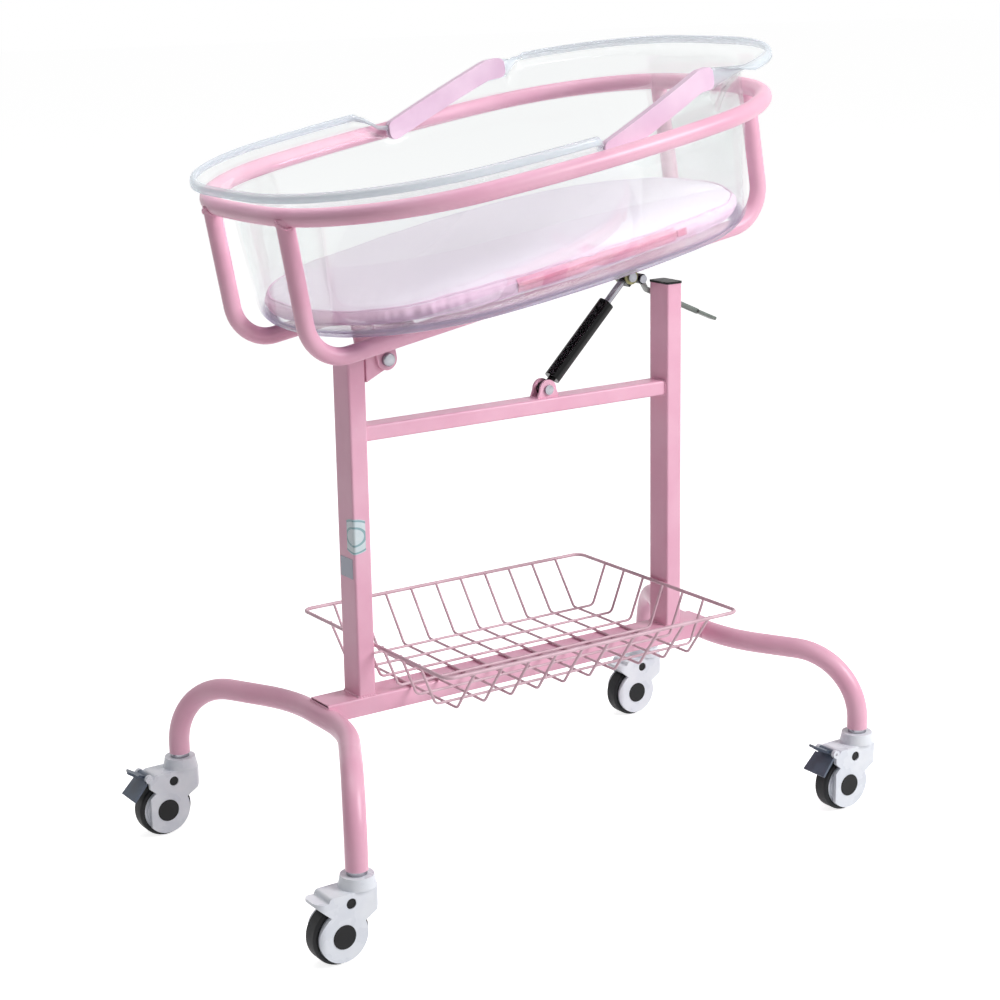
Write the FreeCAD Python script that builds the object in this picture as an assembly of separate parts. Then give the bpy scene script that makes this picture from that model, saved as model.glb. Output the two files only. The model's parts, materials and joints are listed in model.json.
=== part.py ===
import FreeCAD, Part
import math
import os

# A nursing bassinet on a four-caster stand. Millimetres, +Z up, +X to the head
# end, +Y to the far side. The origin lies on the floor, under the middle of the
# whole thing. The stand is modelled about the middle between its four casters,
# the basin about the middle of its hoop, and each piece is moved when it is saved.

# Stand: leg arches
leg_spacing_length = 797.0
leg_spacing_width = 476.0
arch_tube_diameter = 28.0
arch_tube_wall = 1.5
arch_height = 211.5
arch_middle_inset = 89.0
arch_corner_offset = 70.7
arch_middle_straight = 51.0
arch_drop_radius = 90.0
leg_end_height = 109.5

# Stand: beam, columns and rail, all rectangular tube
beam_width = 46.0
beam_depth = 25.0
beam_top_height = 230.6
column_spacing = 500.0
column_width_x = 25.0
column_width_y = 40.0
right_column_top = 714.0
left_column_top = 672.0
rail_width = 30.0
rail_depth = 20.0
rail_centre_height = 571.5
tube_wall = 1.5
tube_corner_radius = 3.0
cap_thickness = 3.0
cap_overhang = 0.6
cap_plug_depth = 14.0
cap_plug_clearance = 0.15

# Blank labels on the left column
label_height = 443.0
label_diameter = 46.0
label_thickness = 0.4
label_glue_gap = 0.05
small_label_height = 400.0
small_label_length = 26.0
small_label_width = 30.0

# Tilt hinge at the left column
hinge_reach = 28.0
hinge_below_column_top = 7.2
hinge_bolt_diameter = 10.0
hinge_head_diameter = 17.0
hinge_head_thickness = 6.0
hinge_cheek_thickness = 4.0
hinge_cheek_spacing = 44.0
hinge_cheek_height = 40.0
hinge_end_radius = 13.0
hinge_cap_gap = 0.5
hinge_ear_thickness = 4.0
hinge_ear_gap = 0.5
hinge_ear_radius = 14.0
hinge_spacer_diameter = 18.0
running_clearance = 0.08

# Gas spring between the rail and the basin
spring_pin_x = 46.0
spring_pin_above_rail = 10.5
spring_pin_diameter = 8.0
spring_clevis_radius = 13.0
spring_clevis_base_length = 34.0
spring_clevis_thickness = 3.0
spring_eye_width = 12.0
spring_eye_radius = 9.0
spring_neck_diameter = 10.0
cylinder_diameter = 22.0
cylinder_wall = 1.5
cylinder_start = 18.0
rod_showing = 36.9
cylinder_gland = 10.0
rod_diameter = 10.0
rod_inside_share = 0.61
rod_end_to_pin = 10.0
piston_length = 12.0
piston_clearance = 0.1
release_head_width = 18.0
release_head_radius = 9.6
open_pivot_slack = 2.5
spring_bracket_thickness = 3.0
spring_bracket_radius = 10.0
spring_bracket_gap = 1.0
pin_head_thickness = 3.0
pin_head_diameter = 13.0

# Release lever
lever_pivot_reach = 21.0
lever_rod_diameter = 8.0
lever_pin_diameter = 6.0
lever_boss_diameter = 14.0
lever_boss_width = 9.0
lever_side_gap = 0.3
lever_straight_length = 17.0
lever_first_drop = 8.0
lever_pass_offset = 33.0
lever_pass_drop = 22.0
lever_bow = 5.0
lever_droop = 23.5
lever_reach = 86.0
lever_bend_radius = 9.0
lever_tip_length = 34.0
lever_tip_width = 15.0
lever_tip_thickness = 5.0

# Basin frame: hoop and its hangers, in the basin's own frame
basin_tilt = 9.85
hinge_from_hoop_u = -214.3
hinge_from_hoop_n = -220.0
spring_from_hoop_u = 182.4
spring_from_hoop_n = -224.0
frame_tube_diameter = 22.0
frame_tube_wall = 1.5
hoop_half_length = 354.0
hoop_half_width = 270.0
oval_end_radius = 1240.0
oval_side_radius = 1040.0
oval_corner_radius = 214.0
hanger_offset = 93.0
hanger_depth = 179.0
hanger_bend_radius = 50.0
vent_hole_diameter = 8.0

# Clear tub that stands on the cross tubes, its rim over the hoop
tub_wall = 4.0
tub_depth = 160.0
tub_floor_half_length = 334.0
tub_floor_half_width = 230.0
tub_hoop_inset = 24.0
tub_bottom_radius = 25.0
tub_seat_gap = 0.3
rim_half_length = 373.0
rim_half_width = 284.0
rim_end_radius = 1950.0
rim_side_radius = 1100.0
rim_corner_radius = 230.0
rim_skirt_depth = 12.0
foot_rim_height = 33.0
foot_flare_start = 2.0
foot_flare_crest = 13.0
head_rim_height = 61.0
head_flare_start = 43.0
head_flare_crest = 51.0
ramp_start_u = -12.0
ramp_end_u = 162.0
ramp_ease_radius = 30.0

# Grip strips over the ramps of the tub's edge
strip_height = 27.0
strip_thickness = 3.0
strip_fit_gap = 0.15
strip_top_cover = 3.0
strip_start_u = 0.0
strip_end_u = 188.0
strip_end_round = 9.0
strip_lip_gap = 1.0

# Mattress and its zip pull
mattress_half_length = 322.0
mattress_half_width = 195.0
mattress_end_radius = 3000.0
mattress_side_radius = 1300.0
mattress_corner_radius = 160.0
mattress_thickness = 42.0
mattress_edge_radius = 16.0
mattress_seat_gap = 0.3
zip_pull_u = 140.0
zip_pull_length = 16.0
zip_pull_width = 9.0
zip_pull_thickness = 3.0
zip_pull_gap = 0.5

# Wire basket between the columns
basket_half_length = 232.0
basket_half_width = 180.5
basket_floor_inset_x = 27.0
basket_floor_half_width = 131.0
basket_rim_height = 293.5
basket_rim_wire = 5.0
basket_wire = 3.6
basket_rim_corner = 14.0
basket_wire_bend = 9.0
basket_seat_gap = 0.3
basket_weld_gap = 0.05
basket_cross_wires = 10
basket_cross_pitch = 41.2
basket_long_wires = 6
basket_long_pitch = 44.6

# Casters
wheel_diameter = 75.0
wheel_trail = 29.5
tyre_width = 22.0
tyre_thickness = 6.0
tyre_shoulder = 3.5
hub_width = 25.0
axle_diameter = 8.0
housing_width = 36.8
housing_side_gap = 0.8
housing_tyre_gap = 3.0
housing_top = 90.0
housing_front = 24.0
housing_disc_radius = 32.0
housing_waist_angle = 25.0
housing_rear_corner = 12.0
visor_reach = 65.0
visor_height = 86.0
visor_thickness = 4.0
visor_step_reach = 48.0
visor_step_height = 84.0
collar_height = 14.0
collar_bottom_diameter = 47.0
collar_top_diameter = 41.0
stem_pin_diameter = 10.0
stem_pin_depth = 16.0
stem_ring_diameter = 25.0
stem_plug_length = 11.0
stem_plug_clearance = 0.1
hub_cap_diameter = 30.0
hub_cap_thickness = 2.4
hub_cap_proud = 0.9
plug_diameter = 13.0
plug_setback = 19.0
plug_height = 77.0
plug_recess = 1.2
cap_pocket_clearance = 0.1

# Brake pedals on two of the casters
pedal_pivot_setback = 54.0
pedal_pivot_height = 87.0
pedal_hub_width = 26.0
pedal_width = 36.0
pedal_end_width = 40.0
pedal_neck_length = 7.0
pedal_hub_diameter = 9.0
pedal_pin_diameter = 4.0
pedal_plate_thickness = 3.5
pedal_length = 36.0
pedal_drop_angle = 48.0
pedal_tab_length = 25.0
pedal_tab_rise_angle = 22.0
pedal_side_gap = 0.4

origin = FreeCAD.Vector(0, 0, 0)
axis_x = FreeCAD.Vector(1, 0, 0)
axis_y = FreeCAD.Vector(0, 1, 0)
axis_z = FreeCAD.Vector(0, 0, 1)

# Places that several pieces share
column_centre_x = column_spacing / 2
column_inner_x = column_centre_x - column_width_x / 2
rail_top = rail_centre_height + rail_depth / 2
hinge_x = -column_inner_x + hinge_reach
hinge_z = left_column_top - hinge_below_column_top
spring_pin_z = rail_top + spring_pin_above_rail
wheel_radius = wheel_diameter / 2
hoop_radius = frame_tube_diameter / 2
cross_tube_n = -tub_depth - tub_seat_gap - hoop_radius
lip_rise = tub_wall * 1.15
head_lip_u = strip_end_u + strip_lip_gap
hanger_u = hoop_half_length - oval_end_radius + math.sqrt(oval_end_radius ** 2 - hanger_offset ** 2)
caster_places = {"near_left": (-1, -1, False), "far_left": (-1, 1, True),
                 "near_right": (1, -1, True), "far_right": (1, 1, False)}

# The whole thing reaches further to the left, where the brake pedals stick out,
# than to the right, where the caster housings end it, so the origin moves half of that.
pedal_reach = pedal_pivot_setback + pedal_length * math.cos(math.radians(pedal_drop_angle)) \
    + pedal_plate_thickness / 2 * math.sin(math.radians(pedal_drop_angle))
origin_shift = (pedal_reach - housing_front) / 2


def vec(x, y, z):
    return FreeCAD.Vector(x, y, z)


def box(x0, y0, z0, x1, y1, z1):
    """A box between two opposite corners."""
    return Part.makeBox(x1 - x0, y1 - y0, z1 - z0, vec(x0, y0, z0))


def rod(start, end, radius):
    """A round bar between two points."""
    return Part.makeCylinder(radius, (end - start).Length, start, end - start)


def across(x, z, half_width, radius):
    """A round bar along Y, centred on Y = 0."""
    return rod(vec(x, -half_width, z), vec(x, half_width, z), radius)


def rounded_path(points, radii):
    """A wire of straight runs with a tangent arc at each inner point."""
    edges = []
    start = points[0]
    for i in range(1, len(points) - 1):
        back = (points[i - 1] - points[i]).normalize()
        ahead = (points[i + 1] - points[i]).normalize()
        half_angle = back.getAngle(ahead) / 2
        reach = radii[i - 1] / math.tan(half_angle)
        first = points[i] + back * reach
        last = points[i] + ahead * reach
        middle = (back + ahead).normalize()
        centre = points[i] + middle * (radii[i - 1] / math.sin(half_angle))
        edges.append(Part.LineSegment(start, first).toShape())
        edges.append(Part.Arc(first, centre - middle * radii[i - 1], last).toShape())
        start = last
    edges.append(Part.LineSegment(start, points[-1]).toShape())
    return Part.Wire(edges)


def sweep_round(path, radius):
    """A round bar that follows a path."""
    first = path.Edges[0]
    ring = Part.Wire(Part.makeCircle(radius, first.firstVertex().Point, first.tangentAt(first.FirstParameter)))
    return path.makePipeShell([ring], True, False)


def tube(path, diameter, wall):
    """A hollow tube that follows a path, and the solid bar of the same outside."""
    outside = sweep_round(path, diameter / 2)
    return outside.cut(sweep_round(path, diameter / 2 - wall)), outside


def rounded_bar(length, width, depth, radius):
    """A bar along Z with rounded long edges, its section centred on the axis."""
    bar = box(-width / 2, -depth / 2, 0, width / 2, depth / 2, length)
    if radius <= 0:
        return bar
    long_edges = [e for e in bar.Edges if abs(e.tangentAt(e.FirstParameter).z) > 0.99]
    return bar.makeFillet(radius, long_edges)


def box_tube(length, width, depth):
    """A rectangular tube along Z."""
    outside = rounded_bar(length, width, depth, tube_corner_radius)
    inside = rounded_bar(length, width - 2 * tube_wall, depth - 2 * tube_wall, tube_corner_radius - tube_wall)
    return outside.cut(inside)


def along_x(bar, start_x, y, z):
    """Turns a bar along Z so that it runs along X from start_x, its width staying along Y."""
    bar.rotate(origin, axis_y, 90)
    bar.translate(vec(start_x, y, z))
    return bar


def extrude_side(points, half_width, radii=None):
    """A plate with the given outline in X and Z, centred on Y = 0."""
    corners = [vec(x, -half_width, z) for x, z in points]
    wire = Part.makePolygon(corners + corners[:1]) if radii is None else closed_round(corners, radii)
    return Part.Face(wire).extrude(vec(0, 2 * half_width, 0))


def closed_round(corners, radii):
    """A closed outline with a rounded corner at each point where the radius is above 0."""
    edges = []
    count = len(corners)
    ends = []
    for i in range(count):
        back = (corners[i - 1] - corners[i]).normalize()
        ahead = (corners[(i + 1) % count] - corners[i]).normalize()
        if radii[i] <= 0:
            ends.append((corners[i], corners[i], None))
            continue
        half_angle = back.getAngle(ahead) / 2
        reach = radii[i] / math.tan(half_angle)
        middle = (back + ahead).normalize()
        centre = corners[i] + middle * (radii[i] / math.sin(half_angle))
        ends.append((corners[i] + back * reach, corners[i] + ahead * reach, centre - middle * radii[i]))
    for i in range(count):
        if ends[i][2] is not None:
            edges.append(Part.Arc(ends[i][0], ends[i][2], ends[i][1]).toShape())
        following = ends[(i + 1) % count][0]
        if (following - ends[i][1]).Length > 1e-6:
            edges.append(Part.LineSegment(ends[i][1], following).toShape())
    return Part.Wire(edges)


def oval_arcs(half_length, half_width, inset, height, radii=None):
    """The arcs of the right half of an oval, from the far side round the end to the near
    side: side, corner, end and so on are circles that touch. Inset moves all of it in."""
    side_radius, end_radius, corner_radius = radii or (oval_side_radius, oval_end_radius, oval_corner_radius)
    side_centre = vec(0, half_width - side_radius, 0)
    end_centre = vec(half_length - end_radius, 0, 0)
    line = end_centre - side_centre
    distance = line.Length
    side_reach = side_radius - corner_radius
    end_reach = end_radius - corner_radius
    along = (side_reach ** 2 - end_reach ** 2 + distance ** 2) / (2 * distance)
    aside = math.sqrt(side_reach ** 2 - along ** 2)
    line.normalize()
    corner_centre = side_centre + line * along + vec(line.y, -line.x, 0) * aside
    side_direction = (corner_centre - side_centre).normalize()
    end_direction = (corner_centre - end_centre).normalize()
    top = vec(0, half_width - inset, height)
    first = corner_centre + side_direction * (corner_radius - inset)
    second = corner_centre + end_direction * (corner_radius - inset)
    middle = corner_centre + (side_direction + end_direction).normalize() * (corner_radius - inset)
    quarter = (vec(0, 1, 0) + side_direction).normalize()
    on_side = side_centre + quarter * (side_radius - inset)
    lift = vec(0, 0, height)
    tip = vec(half_length - inset, 0, height)
    mirror = lambda p: vec(p.x, -p.y, p.z)
    first = first + lift
    second = second + lift
    return [Part.Arc(top, on_side + lift, first).toShape(),
            Part.Arc(first, middle + lift, second).toShape(),
            Part.Arc(second, tip, mirror(second)).toShape(),
            Part.Arc(mirror(second), mirror(middle + lift), mirror(first)).toShape(),
            Part.Arc(mirror(first), mirror(on_side + lift), mirror(top)).toShape()]


def oval_wire(half_length, half_width, inset, height, radii=None):
    """A closed oval at a height, from its right half and that half turned round."""
    right = oval_arcs(half_length, half_width, inset, height, radii)
    left = []
    for edge in right:
        turned = edge.copy()
        turned.rotate(origin, axis_z, 180)
        left.append(turned)
    return Part.Wire(right + left)


def oval_loft(sections):
    """A solid ruled between ovals, each given as half length, half width, inset, height and perhaps radii."""
    return Part.makeLoft([oval_wire(*section) for section in sections], True, True)


def basin_place(shape):
    """Moves a shape from the basin's frame, about the hoop's middle, into the stand's frame."""
    placed = shape.copy()
    placed.translate(vec(-hinge_from_hoop_u, 0, -hinge_from_hoop_n))
    placed.rotate(origin, axis_y, -basin_tilt)
    placed.translate(vec(hinge_x, 0, hinge_z))
    return placed


def basin_point(u, v, n):
    """A point of the basin's frame, in the stand's frame."""
    tilt = math.radians(basin_tilt)
    du = u - hinge_from_hoop_u
    dn = n - hinge_from_hoop_n
    return vec(hinge_x + du * math.cos(tilt) - dn * math.sin(tilt), v,
               hinge_z + du * math.sin(tilt) + dn * math.cos(tilt))


def group(solids):
    return solids[0] if len(solids) == 1 else Part.makeCompound(solids)


def save(name, shape):
    """Writes one sub-part, moved so that the origin is under the middle of the whole."""
    placed = shape.copy()
    placed.translate(vec(origin_shift, 0, 0))
    placed.exportStep("parts/" + name + ".step")
    solids = placed.Solids
    print("%-24s solids %2d valid %s volume %9.0f" % (name, len(solids), placed.isValid(), placed.Volume))


# ---------------------------------------------------------------- stand

def leg_arch(side):
    """One bent tube: down to a caster at each end, bowed towards the middle between."""
    leg_x = side * leg_spacing_length / 2
    leg_y = leg_spacing_width / 2
    middle_x = side * (leg_spacing_length / 2 - arch_middle_inset)
    bow = math.atan2(arch_middle_inset, leg_y - arch_corner_offset)
    bow_radius = (arch_corner_offset - arch_middle_straight / 2) / math.tan(bow / 2)
    points = [vec(leg_x, -leg_y, leg_end_height), vec(leg_x, -leg_y, arch_height),
              vec(middle_x, -arch_corner_offset, arch_height), vec(middle_x, arch_corner_offset, arch_height),
              vec(leg_x, leg_y, arch_height), vec(leg_x, leg_y, leg_end_height)]
    drop = min(arch_drop_radius, arch_height - leg_end_height - stem_plug_length - 1)
    return tube(rounded_path(points, [drop, bow_radius, bow_radius, drop]), arch_tube_diameter, arch_tube_wall)


def base_beam(arch_bars):
    """The flat tube that joins the arches, its ends shaped to the round tubes."""
    half = leg_spacing_length / 2 - arch_middle_inset
    beam = along_x(box_tube(2 * half, beam_depth, beam_width), -half, 0, beam_top_height - beam_depth / 2)
    for bar in arch_bars:
        beam = beam.cut(bar)
    return largest(beam)


def largest(shape):
    return max(shape.Solids, key=lambda s: s.Volume)


def column(side, top):
    post = box_tube(top - beam_top_height, column_width_x, column_width_y)
    post.translate(vec(side * column_centre_x, 0, beam_top_height))
    return post


def column_cap(side, top):
    """A black end cap: a lid a little wider than the tube, and a plug inside it."""
    lid = rounded_bar(cap_thickness, column_width_x + 2 * cap_overhang, column_width_y + 2 * cap_overhang,
                      tube_corner_radius)
    plug_inset = 2 * (tube_wall + cap_plug_clearance)
    plug = rounded_bar(cap_plug_depth, column_width_x - plug_inset, column_width_y - plug_inset,
                       tube_corner_radius - tube_wall)
    plug.translate(vec(0, 0, -cap_plug_depth))
    cap = lid.fuse(plug).removeSplitter()
    cap.translate(vec(side * column_centre_x, 0, top))
    return cap


def cross_rail():
    rail = box_tube(2 * column_inner_x, rail_depth, rail_width)
    return along_x(rail, -column_inner_x, 0, rail_centre_height)


def wrapped_label(shape_through):
    """A label that lies on the left column, cut out of a thin skin by the given shape."""
    outer_gap = label_glue_gap + label_thickness
    skin = rounded_bar(right_column_top, column_width_x + 2 * outer_gap, column_width_y + 2 * outer_gap,
                       tube_corner_radius + outer_gap)
    inner = rounded_bar(right_column_top, column_width_x + 2 * label_glue_gap,
                        column_width_y + 2 * label_glue_gap, tube_corner_radius + label_glue_gap)
    skin = skin.cut(inner)
    skin.translate(vec(-column_centre_x, 0, 0))
    return largest(skin.common(shape_through))


def column_labels():
    """Two blank labels: a round one folded over the near left corner and an oblong one on the left face."""
    corner = vec(-column_centre_x - column_width_x / 2, -column_width_y / 2, label_height)
    outwards = vec(-1, -1, 0).normalize()
    round_cutter = rod(corner - outwards * label_diameter / 4, corner + outwards * label_diameter, label_diameter / 2)
    left_x = -column_centre_x - column_width_x / 2
    small_cutter = box(left_x - column_width_x / 2, -small_label_width / 2, small_label_height - small_label_length / 2,
                       left_x + tube_wall, small_label_width / 2, small_label_height + small_label_length / 2)
    return [wrapped_label(round_cutter), wrapped_label(small_cutter)]


# ---------------------------------------------------------------- tilt hinge

def hinge_bracket():
    """A folded channel on the column: a back plate and two cheeks that hold the bolt."""
    half = hinge_cheek_spacing / 2
    back_x = -column_inner_x
    foot = hinge_z - hinge_cheek_height / 2 - hinge_end_radius / 2
    outline = [(back_x, foot), (hinge_x, hinge_z - hinge_end_radius), (hinge_x, hinge_z + hinge_end_radius),
               (back_x, left_column_top - hinge_cap_gap)]
    body = extrude_side(outline, half).fuse(across(hinge_x, hinge_z, half, hinge_end_radius))
    gap = box(back_x + hinge_cheek_thickness, -half + hinge_cheek_thickness, foot - 1,
              hinge_x + 2 * hinge_end_radius, half - hinge_cheek_thickness, hinge_z + 2 * hinge_end_radius)
    bore = across(hinge_x, hinge_z, half + 1, hinge_bolt_diameter / 2)
    return body.cut(gap).cut(bore).removeSplitter()


def hinge_spacer():
    """The tube between the cheeks, round the bolt."""
    half = hinge_cheek_spacing / 2 - hinge_cheek_thickness
    ring = across(hinge_x, hinge_z, half, hinge_spacer_diameter / 2)
    return ring.cut(across(hinge_x, hinge_z, half + 1, hinge_bolt_diameter / 2))


def hinge_bolt():
    """The tilt axis: a shank through ears and cheeks with a domed head and a nut."""
    outer = hinge_cheek_spacing / 2 + hinge_ear_gap + hinge_ear_thickness + hinge_ear_gap
    shank = across(hinge_x, hinge_z, outer, hinge_bolt_diameter / 2)
    head = rod(vec(hinge_x, -outer, hinge_z), vec(hinge_x, -outer - hinge_head_thickness, hinge_z),
               hinge_head_diameter / 2)
    rim = [e for e in head.Edges if abs(e.CenterOfMass.y + outer + hinge_head_thickness) < 0.01]
    head = head.makeFillet(hinge_head_thickness * 0.4, rim)
    corners = []
    for i in range(6):
        angle = math.radians(60 * i)
        corners.append(vec(hinge_x + hinge_head_diameter / 2 * math.cos(angle), outer,
                           hinge_z + hinge_head_diameter / 2 * math.sin(angle)))
    nut = Part.Face(Part.makePolygon(corners + corners[:1])).extrude(vec(0, hinge_head_thickness, 0))
    return shank.fuse([head, nut]).removeSplitter()


def hinge_ears():
    """Two ears that hang from the foot-end cross tube and turn on the bolt."""
    tube_end = basin_point(hinge_from_hoop_u, 0, cross_tube_n)
    ears = []
    for side in (-1, 1):
        inner = hinge_cheek_spacing / 2 + hinge_ear_gap
        ear = across(hinge_x, hinge_z, hinge_ear_thickness / 2, hinge_ear_radius)
        upright = box(-hinge_ear_radius, -hinge_ear_thickness / 2, 0, hinge_ear_radius, hinge_ear_thickness / 2,
                      (tube_end - vec(hinge_x, 0, hinge_z)).Length)
        upright.rotate(origin, axis_y, -basin_tilt)
        upright.translate(vec(hinge_x, 0, hinge_z))
        ear = ear.fuse(upright).removeSplitter()
        ear = ear.cut(across(hinge_x, hinge_z, hinge_ear_thickness, hinge_bolt_diameter / 2 + running_clearance))
        ear.translate(vec(0, side * (inner + hinge_ear_thickness / 2), 0))
        ears.append(ear)
    return ears


# ---------------------------------------------------------------- gas spring

spring_top = basin_point(spring_from_hoop_u, 0, spring_from_hoop_n)
spring_foot = vec(spring_pin_x, 0, spring_pin_z)
spring_direction = (spring_top - spring_foot).normalize()
spring_length = (spring_top - spring_foot).Length
cylinder_length = spring_length - rod_end_to_pin - rod_showing - cylinder_start


def on_spring(distance):
    """A point on the spring's axis, that far from its lower pin."""
    return spring_foot + spring_direction * distance


def spring_clevis():
    """Two rounded ears on the rail with a foot plate under them."""
    inner = spring_eye_width / 2 + running_clearance + lever_side_gap
    half = inner + spring_clevis_thickness
    foot_half = spring_clevis_base_length / 2
    outline = [(spring_pin_x - foot_half, rail_top), (spring_pin_x + foot_half, rail_top),
               (spring_pin_x + spring_clevis_radius, spring_pin_z),
               (spring_pin_x - spring_clevis_radius, spring_pin_z)]
    body = extrude_side(outline, half).fuse(across(spring_pin_x, spring_pin_z, half, spring_clevis_radius))
    floor_z = spring_pin_z - spring_eye_radius - lever_side_gap
    slot = box(spring_pin_x - 3 * foot_half, -inner, min(floor_z, rail_top + spring_clevis_thickness),
               spring_pin_x + 3 * foot_half, inner, spring_pin_z + 2 * spring_clevis_radius)
    below = box(spring_pin_x - 3 * foot_half, -2 * half, rail_top - 3 * spring_clevis_radius,
                spring_pin_x + 3 * foot_half, 2 * half, rail_top)
    body = body.cut(slot).cut(below)
    return body.cut(across(spring_pin_x, spring_pin_z, half + 1, spring_pin_diameter / 2)).removeSplitter()


def headed_pin(x, z, half_grip, diameter, head_diameter):
    """A pin along Y with a head at each end, outside a grip."""
    shank = across(x, z, half_grip, diameter / 2)
    heads = [rod(vec(x, side * half_grip, z), vec(x, side * (half_grip + pin_head_thickness), z), head_diameter / 2)
             for side in (-1, 1)]
    return shank.fuse(heads).removeSplitter()


def spring_foot_pin():
    half = spring_eye_width / 2 + running_clearance + lever_side_gap + spring_clevis_thickness
    return headed_pin(spring_pin_x, spring_pin_z, half, spring_pin_diameter, pin_head_diameter)


def gas_cylinder():
    """The black cylinder with its lower eye, hollow for the rod, with a gland at the top."""
    outer = rod(on_spring(cylinder_start), on_spring(cylinder_start + cylinder_length), cylinder_diameter / 2)
    bore_start = cylinder_start + 2 * cylinder_wall
    bore_end = cylinder_start + cylinder_length - cylinder_gland
    bore = rod(on_spring(bore_start), on_spring(bore_end), cylinder_diameter / 2 - cylinder_wall)
    gland = rod(on_spring(bore_end - 1), on_spring(cylinder_start + cylinder_length + 1),
                rod_diameter / 2 + running_clearance)
    neck = rod(on_spring(spring_eye_radius * 0.8), on_spring(cylinder_start), spring_neck_diameter / 2)
    eye = across(spring_pin_x, spring_pin_z, spring_eye_width / 2, spring_eye_radius)
    body = outer.fuse([neck, eye]).removeSplitter()
    pin_bore = across(spring_pin_x, spring_pin_z, spring_eye_width, spring_pin_diameter / 2 + running_clearance)
    return body.cut(bore).cut(gland).cut(pin_bore)


def gas_rod():
    """The bright rod with the piston on its inner end, up to the release head."""
    rod_end = spring_length - rod_end_to_pin
    inner_end = cylinder_start + cylinder_length * (1 - rod_inside_share)
    bar = rod(on_spring(inner_end), on_spring(rod_end), rod_diameter / 2)
    piston = rod(on_spring(inner_end), on_spring(inner_end + piston_length),
                 cylinder_diameter / 2 - cylinder_wall - piston_clearance)
    return bar.fuse(piston).removeSplitter()


def release_head():
    """The block on the rod's end that turns on the basin's pin and carries the lever."""
    half = release_head_width / 2
    block = box(0, -half, -release_head_radius, rod_end_to_pin, half, release_head_radius)
    angle = math.degrees(math.atan2(spring_direction.z, spring_direction.x))
    block.rotate(origin, axis_y, -angle)
    block.translate(on_spring(spring_length - rod_end_to_pin))
    block = block.fuse(across(spring_top.x, spring_top.z, half, release_head_radius))
    arm = rod(vec(spring_top.x, 0, spring_top.z), lever_pivot(), release_head_radius * 0.5)
    reach = 2 * lever_pivot_reach
    arm = arm.common(box(spring_top.x - reach, -half, spring_top.z - reach, spring_top.x + reach, half,
                         spring_top.z + reach))
    tip = across(lever_pivot().x, lever_pivot().z, half, lever_boss_diameter / 2)
    body = block.fuse([arm, tip]).removeSplitter()
    eye = across(spring_top.x, spring_top.z, half + 1, spring_pin_diameter / 2 + open_pivot_slack)
    lever_bore = across(lever_pivot().x, lever_pivot().z, half + 1, lever_pin_diameter / 2)
    return body.cut(eye).cut(lever_bore)


def lever_pivot():
    """The lever's own axis, beside and a little under the release head's pin."""
    return vec(spring_top.x + lever_pivot_reach, 0, spring_top.z - release_head_radius / 2)


def lever_pin():
    half = release_head_width / 2
    far = half + lever_side_gap + lever_boss_width + lever_side_gap
    pivot = lever_pivot()
    shank = rod(vec(pivot.x, -half - pin_head_thickness, pivot.z), vec(pivot.x, far + pin_head_thickness, pivot.z),
                lever_pin_diameter / 2)
    heads = [rod(vec(pivot.x, -half - pin_head_thickness, pivot.z), vec(pivot.x, -half, pivot.z),
                 lever_boss_diameter * 0.4),
             rod(vec(pivot.x, far, pivot.z), vec(pivot.x, far + pin_head_thickness, pivot.z),
                 lever_boss_diameter * 0.4)]
    return shank.fuse(heads).removeSplitter()


def lever_points():
    """The lever's centre line: from its boss past the far side of the right column to the tip."""
    pivot = lever_pivot()
    boss_y = release_head_width / 2 + lever_side_gap + lever_boss_width / 2
    slope = math.tan(math.radians(lever_droop))
    pass_x = column_inner_x + lever_rod_diameter / 2
    tip_x = column_centre_x + lever_reach
    return [vec(pivot.x, boss_y, pivot.z),
            vec(pivot.x + lever_straight_length, boss_y, pivot.z - lever_first_drop),
            vec(pass_x, lever_pass_offset, pivot.z - lever_pass_drop),
            vec(tip_x, lever_pass_offset + lever_bow, pivot.z - lever_pass_drop - slope * (tip_x - pass_x))]


def release_lever():
    """The bent rod with a flattened tip that frees the gas spring."""
    pivot = lever_pivot()
    points = lever_points()
    inner = release_head_width / 2 + lever_side_gap
    boss = rod(vec(pivot.x, inner, pivot.z), vec(pivot.x, inner + lever_boss_width, pivot.z),
               lever_boss_diameter / 2)
    bar = sweep_round(rounded_path(points, [lever_bend_radius, lever_bend_radius]), lever_rod_diameter / 2)
    last = (points[3] - points[2]).normalize()
    pad = rounded_bar(lever_tip_length, lever_tip_thickness, lever_tip_width, lever_tip_thickness * 0.45)
    angle = math.degrees(math.atan2(last.x, last.z))
    pad.rotate(origin, axis_y, angle)
    pad.translate(points[3] - last * 2)
    body = boss.fuse([bar, pad]).removeSplitter()
    reach = 2 * lever_reach
    head_side = box(pivot.x - reach, -reach, pivot.z - reach, pivot.x + reach, inner, pivot.z + reach)
    body = body.cut(head_side)
    bore = rod(vec(pivot.x, 0, pivot.z), vec(pivot.x, inner + 2 * lever_boss_width, pivot.z),
               lever_pin_diameter / 2 + running_clearance)
    return largest(body.cut(bore))


def spring_bracket():
    """Two plates under the head-end cross tube that hold the spring's upper pin."""
    tube_point = basin_point(spring_from_hoop_u, 0, cross_tube_n)
    drop = (tube_point - spring_top).Length
    inner = release_head_width / 2 + spring_bracket_gap
    bore_half = 2 * (inner + spring_bracket_thickness)
    plates = []
    for side in (-1, 1):
        plate = across(0, 0, spring_bracket_thickness / 2, spring_bracket_radius)
        plate = plate.fuse(box(-spring_bracket_radius, -spring_bracket_thickness / 2, 0, spring_bracket_radius,
                               spring_bracket_thickness / 2, drop)).removeSplitter()
        plate.rotate(origin, axis_y, -basin_tilt)
        plate.translate(vec(spring_top.x, side * (inner + spring_bracket_thickness / 2), spring_top.z))
        plates.append(plate.cut(across(spring_top.x, spring_top.z, bore_half, spring_pin_diameter / 2)))
    return plates


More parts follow.
